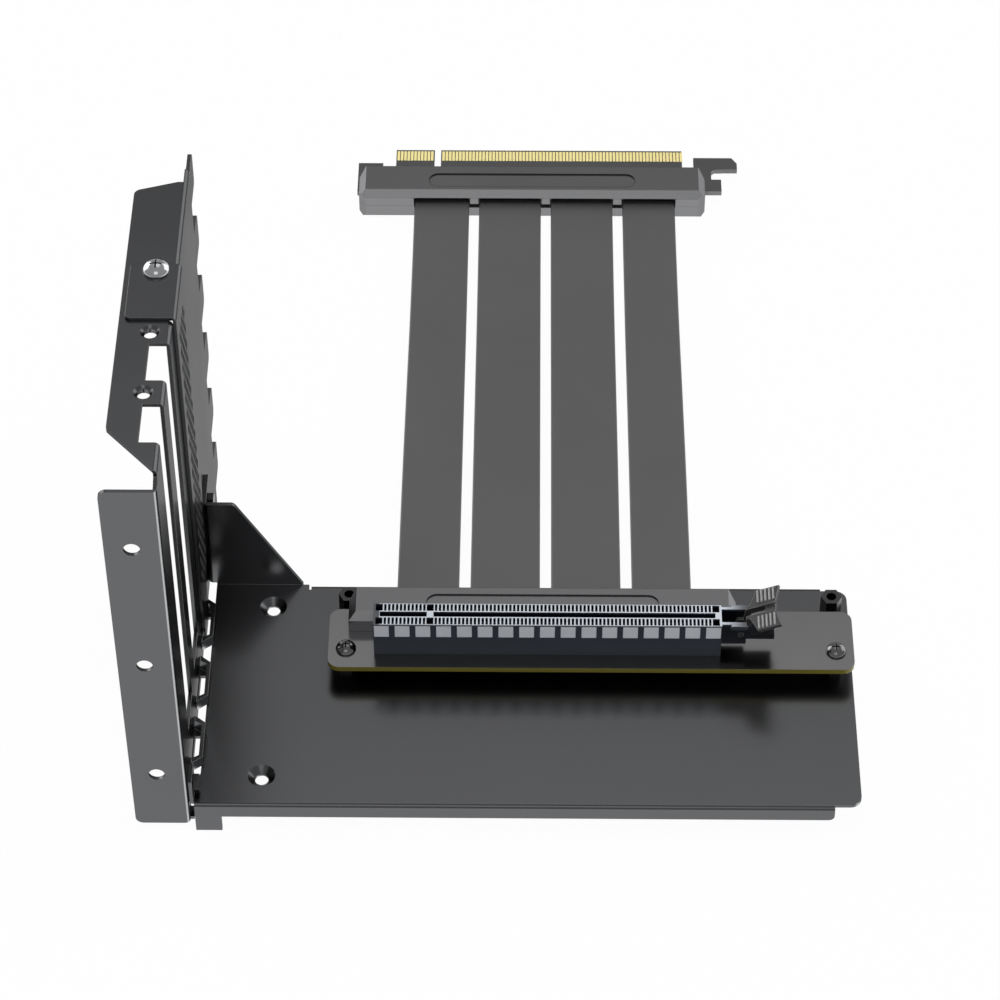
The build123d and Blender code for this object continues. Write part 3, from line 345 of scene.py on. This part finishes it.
def new_material(name):
    """Empty node material with its surface shader and output."""
    made = bpy.data.materials.new(name)
    made.use_nodes = True
    nodes = made.node_tree.nodes
    nodes.clear()
    output = nodes.new("ShaderNodeOutputMaterial")
    shader = nodes.new("ShaderNodeBsdfPrincipled")
    made.node_tree.links.new(shader.outputs["BSDF"], output.inputs["Surface"])
    return made, shader


def add_node(tree, kind, **settings):
    """New node with its settings and plain socket values."""
    node = tree.nodes.new(kind)
    for name, value in settings.items():
        if name in node.inputs:
            node.inputs[name].default_value = value
        else:
            setattr(node, name, value)
    return node


def new_group(name, inputs, outputs):
    """Empty shader node group with named sockets, and its end nodes."""
    tree = bpy.data.node_groups.new(name, "ShaderNodeTree")
    for label, kind, value in inputs:
        socket = tree.interface.new_socket(label, in_out="INPUT", socket_type=kind)
        socket.default_value = value
    for label, kind in outputs:
        tree.interface.new_socket(label, in_out="OUTPUT", socket_type=kind)
    return tree, tree.nodes.new("NodeGroupInput"), tree.nodes.new("NodeGroupOutput")


def reckon(tree, operation, first, second=0.0):
    """One arithmetic step on sockets or numbers; a comparison gives a mask."""
    node = add_node(tree, "ShaderNodeMath", operation=operation)
    for socket, value in zip(node.inputs, (first, second)):
        if isinstance(value, bpy.types.NodeSocket):
            tree.links.new(value, socket)
        else:
            socket.default_value = value
    return node.outputs[0]


def distance(tree, value, middle):
    """How far a coordinate is from a middle."""
    return reckon(tree, "ABSOLUTE", reckon(tree, "SUBTRACT", value, middle))


def climb(tree, value, start, end, top=1.0, **settings):
    """Mask that climbs from 0 at one value to its top at another."""
    node = add_node(tree, "ShaderNodeMapRange", **settings)
    node.inputs["From Min"].default_value = start
    node.inputs["From Max"].default_value = end
    node.inputs["To Max"].default_value = top
    tree.links.new(value, node.inputs["Value"])
    return node.outputs["Result"]


def vector_parts(tree, vector):
    """X, Y and Z of a vector."""
    split = add_node(tree, "ShaderNodeSeparateXYZ")
    tree.links.new(vector, split.inputs["Vector"])
    return split.outputs["X"], split.outputs["Y"], split.outputs["Z"]


def place_parts(tree):
    """X, Y and Z of the object coordinates."""
    return vector_parts(tree, add_node(tree, "ShaderNodeTexCoord").outputs["Object"])


def tinted(colour, share):
    """A colour made darker or lighter by a share."""
    return tuple(min(1.0, channel * share) for channel in colour)


def grain_group():
    """Fine surface grain: a height, a slow tone change and a roughness."""
    known = bpy.data.node_groups.get("Surface grain")
    if known:
        return known
    tree, start, end = new_group(
        "Surface grain",
        [
            ("Size", "NodeSocketFloat", 0.0003),
            ("Roughness", "NodeSocketFloat", 0.4),
            ("Spread", "NodeSocketFloat", 0.06),
        ],
        [
            ("Height", "NodeSocketFloat"),
            ("Roughness", "NodeSocketFloat"),
            ("Tone", "NodeSocketFloat"),
        ],
    )
    links = tree.links
    place = add_node(tree, "ShaderNodeTexCoord")
    fine = add_node(tree, "ShaderNodeTexNoise", Detail=3.0)
    links.new(place.outputs["Object"], fine.inputs["Vector"])
    links.new(reckon(tree, "DIVIDE", 1.0, start.outputs["Size"]), fine.inputs["Scale"])
    links.new(fine.outputs["Fac"], end.inputs["Height"])
    slow = add_node(tree, "ShaderNodeTexNoise", Scale=DRIFT_SCALE, Detail=4.0)
    links.new(place.outputs["Object"], slow.inputs["Vector"])
    links.new(slow.outputs["Fac"], end.inputs["Tone"])
    change = reckon(tree, "SUBTRACT", slow.outputs["Fac"], 0.5)
    change = reckon(tree, "MULTIPLY", change, start.outputs["Spread"])
    links.new(reckon(tree, "ADD", change, start.outputs["Roughness"]), end.inputs["Roughness"])
    return tree


def edge_group():
    """Mask of the narrow painted highlight line along edges."""
    known = bpy.data.node_groups.get("Edge light")
    if known:
        return known
    tree, start, end = new_group(
        "Edge light",
        [("Radius", "NodeSocketFloat", 0.0002)],
        [("Mask", "NodeSocketFloat"), ("Normal", "NodeSocketVector")],
    )
    links = tree.links
    edge = add_node(tree, "ShaderNodeBevel", samples=8)
    links.new(start.outputs["Radius"], edge.inputs["Radius"])
    flat = add_node(tree, "ShaderNodeNewGeometry")
    match = add_node(tree, "ShaderNodeVectorMath", operation="DOT_PRODUCT")
    links.new(edge.outputs["Normal"], match.inputs[0])
    links.new(flat.outputs["Normal"], match.inputs[1])
    mask = climb(tree, match.outputs["Value"], EDGE_START, EDGE_FULL, interpolation_type="SMOOTHSTEP")
    links.new(mask, end.inputs["Mask"])
    links.new(edge.outputs["Normal"], end.inputs["Normal"])
    return tree


def place_grain(material, shader, size, roughness, spread, bump, softness):
    """Put the grain on a material, over normals that round the edges softly."""
    tree = material.node_tree
    grain = add_node(tree, "ShaderNodeGroup", node_tree=grain_group())
    grain.inputs["Size"].default_value = size
    grain.inputs["Roughness"].default_value = roughness
    grain.inputs["Spread"].default_value = spread
    edge = add_node(tree, "ShaderNodeGroup", node_tree=edge_group())
    edge.inputs["Radius"].default_value = softness
    relief = add_node(tree, "ShaderNodeBump", Strength=bump, Distance=size * GRAIN_HEIGHT)
    tree.links.new(grain.outputs["Height"], relief.inputs["Height"])
    tree.links.new(edge.outputs["Normal"], relief.inputs["Normal"])
    tree.links.new(relief.outputs["Normal"], shader.inputs["Normal"])
    tree.links.new(grain.outputs["Roughness"], shader.inputs["Roughness"])
    return grain, edge


def shaded_colour(material, grain, colour, change):
    """Base colour that drifts a little darker and lighter over the surface."""
    tree = material.node_tree
    ramp = add_node(tree, "ShaderNodeMix", data_type="RGBA")
    ramp.inputs["A"].default_value = (*tinted(colour, 1 - change), 1.0)
    ramp.inputs["B"].default_value = (*tinted(colour, 1 + change), 1.0)
    tree.links.new(grain.outputs["Tone"], ramp.inputs["Factor"])
    return ramp.outputs["Result"]


def over_colour(material, shader, mask, colour):
    """Lay one more colour over the base colour where a mask says so."""
    tree = material.node_tree
    under = shader.inputs["Base Color"].links[0].from_socket
    blend = add_node(tree, "ShaderNodeMix", data_type="RGBA")
    tree.links.new(mask, blend.inputs["Factor"])
    tree.links.new(under, blend.inputs["A"])
    blend.inputs["B"].default_value = (*colour, 1.0)
    tree.links.new(blend.outputs["Result"], shader.inputs["Base Color"])


def plain_finish(
    name,
    colour,
    roughness,
    spread,
    size,
    bump,
    change,
    softness,
    edge=0.0,
    metallic=0.0,
    sheen_cut=1.0,
):
    """Material of one colour with its grain, drift, soft edges and painted highlight lines along its
    edges.
    """
    made, shader = new_material(name)
    tree = made.node_tree
    grain, painted_highlight = place_grain(made, shader, size, roughness, spread, bump, softness)
    tree.links.new(shaded_colour(made, grain, colour, change), shader.inputs["Base Color"])
    # Painted highlight: a light line along the edges, as strong as the edge share
    if edge:
        over_colour(made, shader, reckon(tree, "MULTIPLY", painted_highlight.outputs["Mask"], edge), EDGE_HIGHLIGHT)
    shader.inputs["Metallic"].default_value = metallic
    shader.inputs["Specular Tint"].default_value = (sheen_cut, sheen_cut, sheen_cut, 1.0)
    return made, shader


def dress(node, material):
    """Give a carried-over node its material."""
    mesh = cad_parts[node].data
    mesh.materials.clear()
    mesh.materials.append(material)


# Materials


def paint_material(colours, sizes):
    """Satin charcoal coat on sheet steel, with painted highlight lines along its edges and upright bends.
    """
    made, shader = plain_finish(
        "Charcoal coat",
        colours.paint,
        roughness=0.25,
        spread=0.05,
        size=sizes.paint_grain,
        bump=0.08,
        change=0.06,
        softness=sizes.edge_softness,
        edge=0.22,
        metallic=1.0,
        sheen_cut=0.28,
    )
    tree = made.node_tree
    face = add_node(tree, "ShaderNodeNewGeometry")
    along, across = vector_parts(tree, face.outputs["Normal"])[:2]
    turn = reckon(tree, "MULTIPLY", along, across)
    # Painted highlight along the upright bends
    bend_highlight = climb(tree, turn, BEND_START, BEND_FULL, BEND_SHARE, interpolation_type="SMOOTHSTEP")
    over_colour(made, shader, bend_highlight, BEND_HIGHLIGHT)
    return made


def shell_material(name, colours, sizes, panel=None):
    """Satin moulded shell, with painted highlight lines along its edges and a thin line of painted shade
    for the gap round its slot-shaped panel.
    """
    made, shader = plain_finish(
        name,
        colours.shell,
        roughness=0.26,
        spread=0.05,
        size=sizes.mould_grain,
        bump=0.1,
        change=0.05,
        softness=sizes.edge_softness,
        edge=0.12,
        metallic=0.95,
        sheen_cut=0.4,
    )
    if panel:
        middle, length, width = panel
        tree = made.node_tree
        along, across = place_parts(tree)[:2]
        run = reckon(tree, "SUBTRACT", distance(tree, along, middle.x), (length - width) / 2)
        run = reckon(tree, "MAXIMUM", run, 0.0)
        side = distance(tree, across, middle.y)
        squares = [reckon(tree, "POWER", part, 2.0) for part in (run, side)]
        reach = reckon(tree, "SQRT", reckon(tree, "ADD", *squares))
        # Painted shade in a thin line where the gap runs round the panel
        gap = reckon(tree, "LESS_THAN", distance(tree, reach, width / 2), PANEL_GAP)
        over_colour(made, shader, gap, GAP_SHADE)
    return made


def lever_material(colours, sizes):
    """Moulded lever, with a painted highlight on its ridge tops and painted highlight lines along its
    edges.
    """
    made, shader = plain_finish(
        "Moulded lever",
        colours.lever,
        roughness=0.36,
        spread=0.08,
        size=sizes.mould_grain,
        bump=0.12,
        change=0.08,
        softness=sizes.edge_softness * 0.8,
        edge=0.6,
    )
    tree = made.node_tree
    place = add_node(tree, "ShaderNodeTexCoord")
    rise = add_node(tree, "ShaderNodeVectorMath", operation="DOT_PRODUCT")
    tree.links.new(place.outputs["Object"], rise.inputs[0])
    up = Vector((-math.sin(LEVER_TILT), 0.0, math.cos(LEVER_TILT)))
    rise.inputs[1].default_value = up
    level = LEVER_PIVOT.dot(up)
    # Painted highlight on the ridge tops
    ridges = reckon(tree, "GREATER_THAN", rise.outputs["Value"], level + LEVER_RISE + RIDGE_START)
    over_colour(made, shader, ridges, RIDGE_HIGHLIGHT)
    return made


def socket_material(colours, sizes):
    """Dark socket housing, with a painted reflection lightening the top of its ribs and ends and painted
    shade deep in its cavities.
    """
    made, shader = plain_finish(
        "Socket housing",
        colours.housing,
        roughness=0.33,
        spread=0.06,
        size=sizes.mould_grain,
        bump=0.1,
        change=0.08,
        softness=sizes.edge_softness * 0.4,
    )
    tree = made.node_tree
    low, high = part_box("socket_housing")
    along, across, up = place_parts(tree)
    top = reckon(tree, "GREATER_THAN", up, high.z - RIM_DEPTH)
    half = (high.y - low.y) / 2
    side = distance(tree, across, (low.y + high.y) / 2)
    inside = reckon(tree, "LESS_THAN", side, half - RIM_INSET)
    # Painted reflection on the socket's top: dimmer along its sides, full between them
    over_colour(made, shader, top, tinted(colours.painted_highlight, RIM_SIDE_SHARE))
    over_colour(made, shader, reckon(tree, "MULTIPLY", top, inside), colours.painted_highlight)
    # The painted reflection stays dim on the closed end by the slot plate
    blind = reckon(tree, "LESS_THAN", along, low.x + BLIND_END)
    over_colour(made, shader, reckon(tree, "MULTIPLY", top, blind), tinted(colours.painted_highlight, BLIND_SHARE))
    # On the tower's arms the painted reflection fades from full to a mid grey
    fade = climb(tree, along, high.x - ARM_FADE_START, high.x - ARM_FADE_END)
    over_colour(made, shader, reckon(tree, "MULTIPLY", top, fade), tinted(colours.painted_highlight, ARM_SHARE))
    # Painted shade: deep inside the cavities the plastic is nearly black
    deep = reckon(tree, "LESS_THAN", up, high.z - CAVITY_DEPTH)
    within = reckon(tree, "LESS_THAN", side, half - CAVITY_INSET)
    over_colour(made, shader, reckon(tree, "MULTIPLY", deep, within), CAVITY_SHADE)
    return made


def edge_mask(tree):
    """Mask of the board's sides, where its laminate shows."""
    face = add_node(tree, "ShaderNodeNewGeometry")
    up = vector_parts(tree, face.outputs["True Normal"])[2]
    return reckon(tree, "LESS_THAN", distance(tree, up, 0.0), FACE_TURN)


def board_material(name, mask, edge, sizes, roughness):
    """Satin solder mask on the faces and another colour round the edge."""
    made, shader = plain_finish(
        name,
        mask,
        roughness=roughness,
        spread=0.04,
        size=sizes.mould_grain * 2,
        bump=0.03,
        change=0.04,
        softness=sizes.edge_softness * 0.3,
        metallic=1.0,
        sheen_cut=0.6,
    )
    tree = made.node_tree
    sides = edge_mask(tree)
    over_colour(made, shader, sides, edge)
    tree.links.new(reckon(tree, "SUBTRACT", 1.0, sides), shader.inputs["Metallic"])
    return made


def metal_material(name, colour, roughness, sizes, metallic=1.0):
    """Plated metal with a faint grain."""
    return plain_finish(
        name,
        colour,
        roughness=roughness,
        spread=0.06,
        size=sizes.mould_grain,
        bump=0.05,
        change=0.04,
        softness=sizes.edge_softness * 0.5,
        metallic=metallic,
    )[0]


def jacket_material(colours, sizes):
    """Soft ribbon jacket with faint ridges over its conductors."""
    made, shader = new_material("Ribbon jacket")
    tree = made.node_tree
    grain = add_node(tree, "ShaderNodeGroup", node_tree=grain_group())
    grain.inputs["Size"].default_value = sizes.mould_grain
    grain.inputs["Roughness"].default_value = 0.38
    grain.inputs["Spread"].default_value = 0.06
    shader.inputs["Specular IOR Level"].default_value = 0.8
    place = add_node(tree, "ShaderNodeUVMap", uv_map="across_along")
    across = vector_parts(tree, place.outputs["UV"])[0]
    wave = reckon(tree, "SINE", reckon(tree, "MULTIPLY", across, 2 * math.pi / CONDUCTOR_PITCH))
    ridges = add_node(tree, "ShaderNodeBump", Strength=0.12, Distance=0.03 * MM)
    tree.links.new(wave, ridges.inputs["Height"])
    relief = add_node(tree, "ShaderNodeBump", Strength=0.15, Distance=0.02 * MM)
    tree.links.new(grain.outputs["Height"], relief.inputs["Height"])
    tree.links.new(ridges.outputs["Normal"], relief.inputs["Normal"])
    tree.links.new(relief.outputs["Normal"], shader.inputs["Normal"])
    tree.links.new(grain.outputs["Roughness"], shader.inputs["Roughness"])
    tree.links.new(shaded_colour(made, grain, colours.jacket, 0.06), shader.inputs["Base Color"])
    return made


# Ribbons


def route_line(name, middle):
    """Points along the smooth line that a ribbon follows."""
    curve = bpy.data.curves.new(name, "CURVE")
    curve.dimensions = "3D"
    curve.resolution_u = 24
    spline = curve.splines.new("NURBS")
    spline.points.add(len(RIBBON_BACK) - 1)
    for point, back, rise in zip(spline.points, RIBBON_BACK, RIBBON_RISE):
        point.co = (middle, back, rise, 1.0)
    spline.order_u = 3
    spline.use_endpoint_u = True
    holder = bpy.data.objects.new(name, curve)
    line_mesh = bpy.data.meshes.new_from_object(holder)
    line = [vertex.co.copy() for vertex in line_mesh.vertices]
    bpy.data.meshes.remove(line_mesh)
    bpy.data.objects.remove(holder)
    bpy.data.curves.remove(curve)
    return line


def ribbon_section(width, thickness, steps=4):
    """Outline of a flat band with rounded sides, as pairs across and up."""
    radius = thickness * RIBBON_ROUND
    corners = []
    for side, lift, start in ((1, 1, 0), (-1, 1, 90), (-1, -1, 180), (1, -1, 270)):
        for step in range(steps + 1):
            angle = math.radians(start + 90 * step / steps)
            across = side * (width / 2 - radius) + radius * math.cos(angle)
            up = lift * (thickness / 2 - radius) + radius * math.sin(angle)
            corners.append((across, up))
    return corners


def band_along(name, line, width, thickness):
    """Flat band that follows a line in one upright plane, with a map across and along it."""
    section = ribbon_section(width, thickness)
    made = bmesh.new()
    layer = made.loops.layers.uv.new("across_along")
    rings = []
    run = 0.0
    for index, point in enumerate(line):
        before = line[max(index - 1, 0)]
        after = line[min(index + 1, len(line) - 1)]
        along = (after - before).normalized()
        up = Vector((1, 0, 0)).cross(along)
        run += (point - before).length
        ring = [made.verts.new(point + Vector((across, 0, 0)) + up * lift) for across, lift in section]
        rings.append((ring, run))
    count = len(section)
    for (ring, here), (following, there) in zip(rings, rings[1:]):
        for index in range(count):
            other = (index + 1) % count
            face = made.faces.new((ring[index], ring[other], following[other], following[index]))
            face.smooth = True
            places = (
                (section[index][0], here),
                (section[other][0], here),
                (section[other][0], there),
                (section[index][0], there),
            )
            for loop, place in zip(face.loops, places):
                loop[layer].uv = place
    made.faces.new(rings[0][0])
    made.faces.new(rings[-1][0])
    bmesh.ops.recalc_face_normals(made, faces=made.faces)
    mesh = bpy.data.meshes.new(name)
    made.to_mesh(mesh)
    made.free()
    piece = bpy.data.objects.new(name, mesh)
    bpy.context.scene.collection.objects.link(piece)
    return piece


# Screws


def pick_faces(test):
    """In edit mode, select only the faces whose normal passes a test."""
    mesh = bmesh.from_edit_mesh(bpy.context.active_object.data)
    bpy.ops.mesh.select_all(action="DESELECT")
    for face in mesh.faces:
        face.select_set(test(face.normal))
    bmesh.update_edit_mesh(bpy.context.active_object.data)


def recess_blade(place, span, width, depth, turn, shade):
    """One tapered blade of the cross that cuts a screw's recess and carries the painted shade material
    onto it.
    """
    bpy.ops.mesh.primitive_cube_add(size=1.0, location=place)
    blade = bpy.context.active_object
    blade.scale = (span, width, 2 * depth)
    blade.rotation_euler.z = turn
    bpy.ops.object.transform_apply(location=False, rotation=True, scale=True)
    bpy.ops.object.mode_set(mode="EDIT")
    bpy.ops.mesh.select_mode(type="FACE")
    pick_faces(lambda normal: normal.z < -0.5)
    bpy.ops.transform.resize(value=(RECESS_TIP, RECESS_TIP, 1.0))
    bpy.ops.object.mode_set(mode="OBJECT")
    blade.data.materials.append(shade)
    return blade


def cross_screw(name, place, head_radius, head_height, shank_radius, finish, shade):
    """Domed screw with a cross recess, its head's underside at the place given."""
    bpy.ops.object.select_all(action="DESELECT")
    bpy.ops.mesh.primitive_uv_sphere_add(segments=56, ring_count=28, radius=head_radius, location=place)
    screw = bpy.context.active_object
    screw.name = name
    screw.data.materials.append(finish)
    bpy.ops.object.mode_set(mode="EDIT")
    bpy.ops.mesh.select_mode(type="FACE")
    bpy.ops.mesh.select_all(action="SELECT")
    bpy.ops.transform.resize(value=(1.0, 1.0, head_height / head_radius))
    bpy.ops.mesh.bisect(plane_co=place, plane_no=(0, 0, 1), use_fill=True, clear_inner=True)
    pick_faces(lambda normal: normal.z < -0.9)
    bpy.ops.mesh.inset(thickness=head_radius - shank_radius)
    bpy.ops.mesh.extrude_region_move(TRANSFORM_OT_translate={"value": (0, 0, -SHANK_LENGTH)})
    bpy.ops.transform.resize(value=(SHANK_TIP, SHANK_TIP, 1.0))
    bpy.ops.object.mode_set(mode="OBJECT")
    top = Vector(place) + Vector((0, 0, head_height))
    span, width, depth = head_radius * RECESS_SPAN, head_radius * RECESS_WIDTH, head_height * RECESS_DEPTH
    for turn in (0, math.pi / 2):
        blade = recess_blade(top, span, width, depth, turn, shade)
        bpy.ops.object.select_all(action="DESELECT")
        screw.select_set(True)
        bpy.context.view_layer.objects.active = screw
        cut = screw.modifiers.new("recess", "BOOLEAN")
        cut.operation = "DIFFERENCE"
        cut.object = blade
        cut.solver = "EXACT"
        cut.material_mode = "TRANSFER"
        bpy.ops.object.modifier_apply(modifier=cut.name)
        bpy.data.objects.remove(blade)
    bpy.ops.object.shade_smooth_by_angle(angle=SMOOTH_BELOW)
    bpy.ops.object.transform_apply(location=True, rotation=True, scale=True)
    return screw


# Operators


class RISER_OT_paint_bracket(bpy.types.Operator):
    """Powder coat the base plate, the slot plate and the slot cover"""

    bl_idname = "riser.paint_bracket"
    bl_label = "Paint Bracket"

    def execute(self, context):
        paint = paint_material(context.scene.riser_colours, context.scene.riser_sizes)
        for node in ("base_plate", "io_plate", "slot_cover"):
            dress(node, paint)
        return {"FINISHED"}


class RISER_OT_finish_fasteners(bpy.types.Operator):
    """Plate the screws and standoffs"""

    bl_idname = "riser.finish_fasteners"
    bl_label = "Finish Fasteners"

    def execute(self, context):
        colours = context.scene.riser_colours
        sizes = context.scene.riser_sizes
        finishes = {
            "bright_screw": metal_material("Bright plated steel", colours.steel, 0.14, sizes),
            "dark_screw": metal_material("Dark nickel", colours.dark_steel, 0.16, sizes),
        }
        black = metal_material("Black oxide", tinted(colours.dark_steel, OXIDE_SHARE), 0.3, sizes)
        # Painted shade: the cross recess gets a darker copy of the dark steel
        recess = metal_material("Screw recess", tinted(colours.dark_steel, RECESS_SHADE_SHARE), 0.3, sizes)
        for node, (slot, height, shank) in SCREWS.items():
            low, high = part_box(node)
            seat = ((low.x + high.x) / 2, (low.y + high.y) / 2, low.z + SHANK_LENGTH)
            radius = (high.x - low.x) / 2
            screw = cross_screw(f"{node}_head", seat, radius, height, shank, finishes[slot], recess)
            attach(screw, BODY)
            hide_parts(node)
        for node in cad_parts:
            if node.startswith(("standoff_", "tie_screw_")):
                dress(node, black)
        return {"FINISHED"}


class RISER_OT_finish_socket(bpy.types.Operator):
    """Finish the socket, its contacts and its screening pads"""

    bl_idname = "riser.finish_socket"
    bl_label = "Finish Socket"

    def execute(self, context):
        colours = context.scene.riser_colours
        sizes = context.scene.riser_sizes
        dress("socket_housing", socket_material(colours, sizes))
        dress("screening_pads", metal_material("Screening pads", colours.pads, 0.4, sizes, metallic=0.0))
        spring = metal_material("Contact spring", tinted(colours.pads, SPRING_SHARE), 0.3, sizes)
        dress("contacts_front", spring)
        dress("contacts_rear", spring)
        return {"FINISHED"}


class RISER_OT_finish_lever(bpy.types.Operator):
    """Finish the retention lever"""

    bl_idname = "riser.finish_lever"
    bl_label = "Finish Lever"

    def execute(self, context):
        dress("latch_lever", lever_material(context.scene.riser_colours, context.scene.riser_sizes))
        return {"FINISHED"}


class RISER_OT_finish_boards(bpy.types.Operator):
    """Finish the riser board, the edge card and its gold fingers"""

    bl_idname = "riser.finish_boards"
    bl_label = "Finish Boards"

    def execute(self, context):
        colours = context.scene.riser_colours
        sizes = context.scene.riser_sizes
        dress("riser_board", board_material("Riser board", colours.mask, colours.laminate, sizes, 0.2))
        card_mask = tinted(colours.mask, CARD_SHARE)
        dress("plug_card", board_material("Edge card", card_mask, CARD_EDGE, sizes, 0.3))
        gold = metal_material("Gold plate", colours.gold, 0.4, sizes, metallic=0.15)
        dress("plug_fingers_upper", gold)
        dress("plug_fingers_lower", gold)
        return {"FINISHED"}


class RISER_OT_finish_shells(bpy.types.Operator):
    """Finish the moulded shells at both ends of the cable"""

    bl_idname = "riser.finish_shells"
    bl_label = "Finish Shells"

    def execute(self, context):
        colours = context.scene.riser_colours
        sizes = context.scene.riser_sizes
        for node in ("riser_shell_upper", "riser_shell_lower", "plug_shell_upper", "plug_shell_lower"):
            panel = None
            if node in PANELS:
                low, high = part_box(node)
                panel = ((low + high) / 2, *PANELS[node])
            dress(node, shell_material(f"Moulded {node}", colours, sizes, panel))
        return {"FINISHED"}


class RISER_OT_lay_ribbons(bpy.types.Operator):
    """Lay the four flat ribbons from the socket to the plug"""

    bl_idname = "riser.lay_ribbons"
    bl_label = "Lay Ribbons"

    def execute(self, context):
        sizes = context.scene.riser_sizes
        jacket = jacket_material(context.scene.riser_colours, sizes)
        for node in RIBBON_NAMES:
            low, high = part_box(node)
            width = high.x - low.x
            line = route_line(f"{node}_route", (low.x + high.x) / 2)
            band = band_along(f"{node}_band", line, width, sizes.ribbon_thickness)
            band.data.materials.append(jacket)
            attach(band, BODY)
            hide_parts(node)
        return {"FINISHED"}


class RISER_OT_set_stage(bpy.types.Operator):
    """Set up the floor, the lights and the camera"""

    bl_idname = "riser.set_stage"
    bl_label = "Set Stage"

    def execute(self, context):
        stage = context.scene.riser_stage
        self.add_floor()
        self.add_world(context, stage)
        self.add_lights()
        camera = bpy.data.cameras.new("camera")
        camera.lens = stage.lens
        camera.sensor_width = SENSOR_WIDTH
        holder = bpy.data.objects.new("camera", camera)
        holder.location = stage.place
        holder.rotation_euler = stage.tilt
        context.scene.collection.objects.link(holder)
        context.scene.camera = holder
        context.scene.view_settings.view_transform = "Standard"
        return {"FINISHED"}

    def add_floor(self):
        """Pale floor that keeps the object's soft shadow."""
        bpy.ops.object.select_all(action="DESELECT")
        bpy.ops.mesh.primitive_plane_add(size=FLOOR_SIZE, location=(0, 0, 0))
        floor = bpy.context.active_object
        floor.name = "floor"
        made = bpy.data.materials.new("Floor")
        made.use_nodes = True
        tree = made.node_tree
        tree.nodes.clear()
        output = add_node(tree, "ShaderNodeOutputMaterial")
        matt = add_node(tree, "ShaderNodeBsdfDiffuse", Color=(FLOOR_TONE, FLOOR_TONE, FLOOR_TONE, 1.0))
        glow = add_node(tree, "ShaderNodeEmission", Color=WHITE, Strength=1.0)
        path = add_node(tree, "ShaderNodeLightPath")
        seen = reckon(tree, "MAXIMUM", path.outputs["Is Camera Ray"], path.outputs["Is Glossy Ray"])
        mix = add_node(tree, "ShaderNodeMixShader")
        tree.links.new(reckon(tree, "MULTIPLY", seen, FLOOR_GLOW), mix.inputs["Fac"])
        tree.links.new(matt.outputs[0], mix.inputs[1])
        tree.links.new(glow.outputs[0], mix.inputs[2])
        tree.links.new(mix.outputs[0], output.inputs["Surface"])
        floor.data.materials.append(made)

    def add_world(self, context, stage):
        """Even studio light, white where the camera sees it."""
        world = bpy.data.worlds.new("studio")
        world.use_nodes = True
        context.scene.world = world
        tree = world.node_tree
        tree.nodes.clear()
        output = add_node(tree, "ShaderNodeOutputWorld")
        glow = add_node(tree, "ShaderNodeBackground", Color=WHITE)
        path = add_node(tree, "ShaderNodeLightPath")
        strength = add_node(tree, "ShaderNodeMapRange")
        strength.inputs["To Min"].default_value = stage.sky
        tree.links.new(path.outputs["Is Camera Ray"], strength.inputs["Value"])
        tree.links.new(strength.outputs["Result"], glow.inputs["Strength"])
        tree.links.new(glow.outputs[0], output.inputs["Surface"])

    def add_lights(self):
        """Large soft lamps: overhead, behind and in front, and a low one at each side."""
        for name, (place, aim, size, power, shown) in LAMPS.items():
            lamp = bpy.data.lights.new(name, "AREA")
            lamp.size = size
            lamp.energy = power
            holder = bpy.data.objects.new(name, lamp)
            holder.location = place
            towards = Vector(aim) - Vector(place)
            holder.rotation_euler = towards.to_track_quat("-Z", "Y").to_euler()
            holder.visible_glossy = shown
            bpy.context.scene.collection.objects.link(holder)


class RISER_PT_panel(bpy.types.Panel):
    """Steps that finish the riser"""

    bl_label = "Riser"
    bl_idname = "RISER_PT_panel"
    bl_space_type = "VIEW_3D"
    bl_region_type = "UI"
    bl_category = "Riser"

    def draw(self, context):
        column = self.layout.column()
        for operator in OPERATORS:
            column.operator(operator.bl_idname)


GROUPS = (RiserColours, RiserSizes, RiserStage)
OPERATORS = (
    RISER_OT_paint_bracket,
    RISER_OT_finish_fasteners,
    RISER_OT_finish_socket,
    RISER_OT_finish_lever,
    RISER_OT_finish_boards,
    RISER_OT_finish_shells,
    RISER_OT_lay_ribbons,
    RISER_OT_set_stage,
)


def register():
    """Add the groups, operators and panel."""
    for made in (*GROUPS, *OPERATORS, RISER_PT_panel):
        bpy.utils.register_class(made)
    bpy.types.Scene.riser_colours = PointerProperty(type=RiserColours)
    bpy.types.Scene.riser_sizes = PointerProperty(type=RiserSizes)
    bpy.types.Scene.riser_stage = PointerProperty(type=RiserStage)


def unregister():
    """Take the groups, operators and panel away again."""
    del bpy.types.Scene.riser_stage
    del bpy.types.Scene.riser_sizes
    del bpy.types.Scene.riser_colours
    for made in reversed((*GROUPS, *OPERATORS, RISER_PT_panel)):
        bpy.utils.unregister_class(made)


def main():
    """Finish the riser piece by piece."""
    register()
    bpy.ops.riser.paint_bracket()
    bpy.ops.riser.finish_fasteners()
    bpy.ops.riser.finish_socket()
    bpy.ops.riser.finish_lever()
    bpy.ops.riser.finish_boards()
    bpy.ops.riser.finish_shells()
    bpy.ops.riser.lay_ribbons()
    bpy.ops.riser.set_stage()


if __name__ == "__main__":
    main()
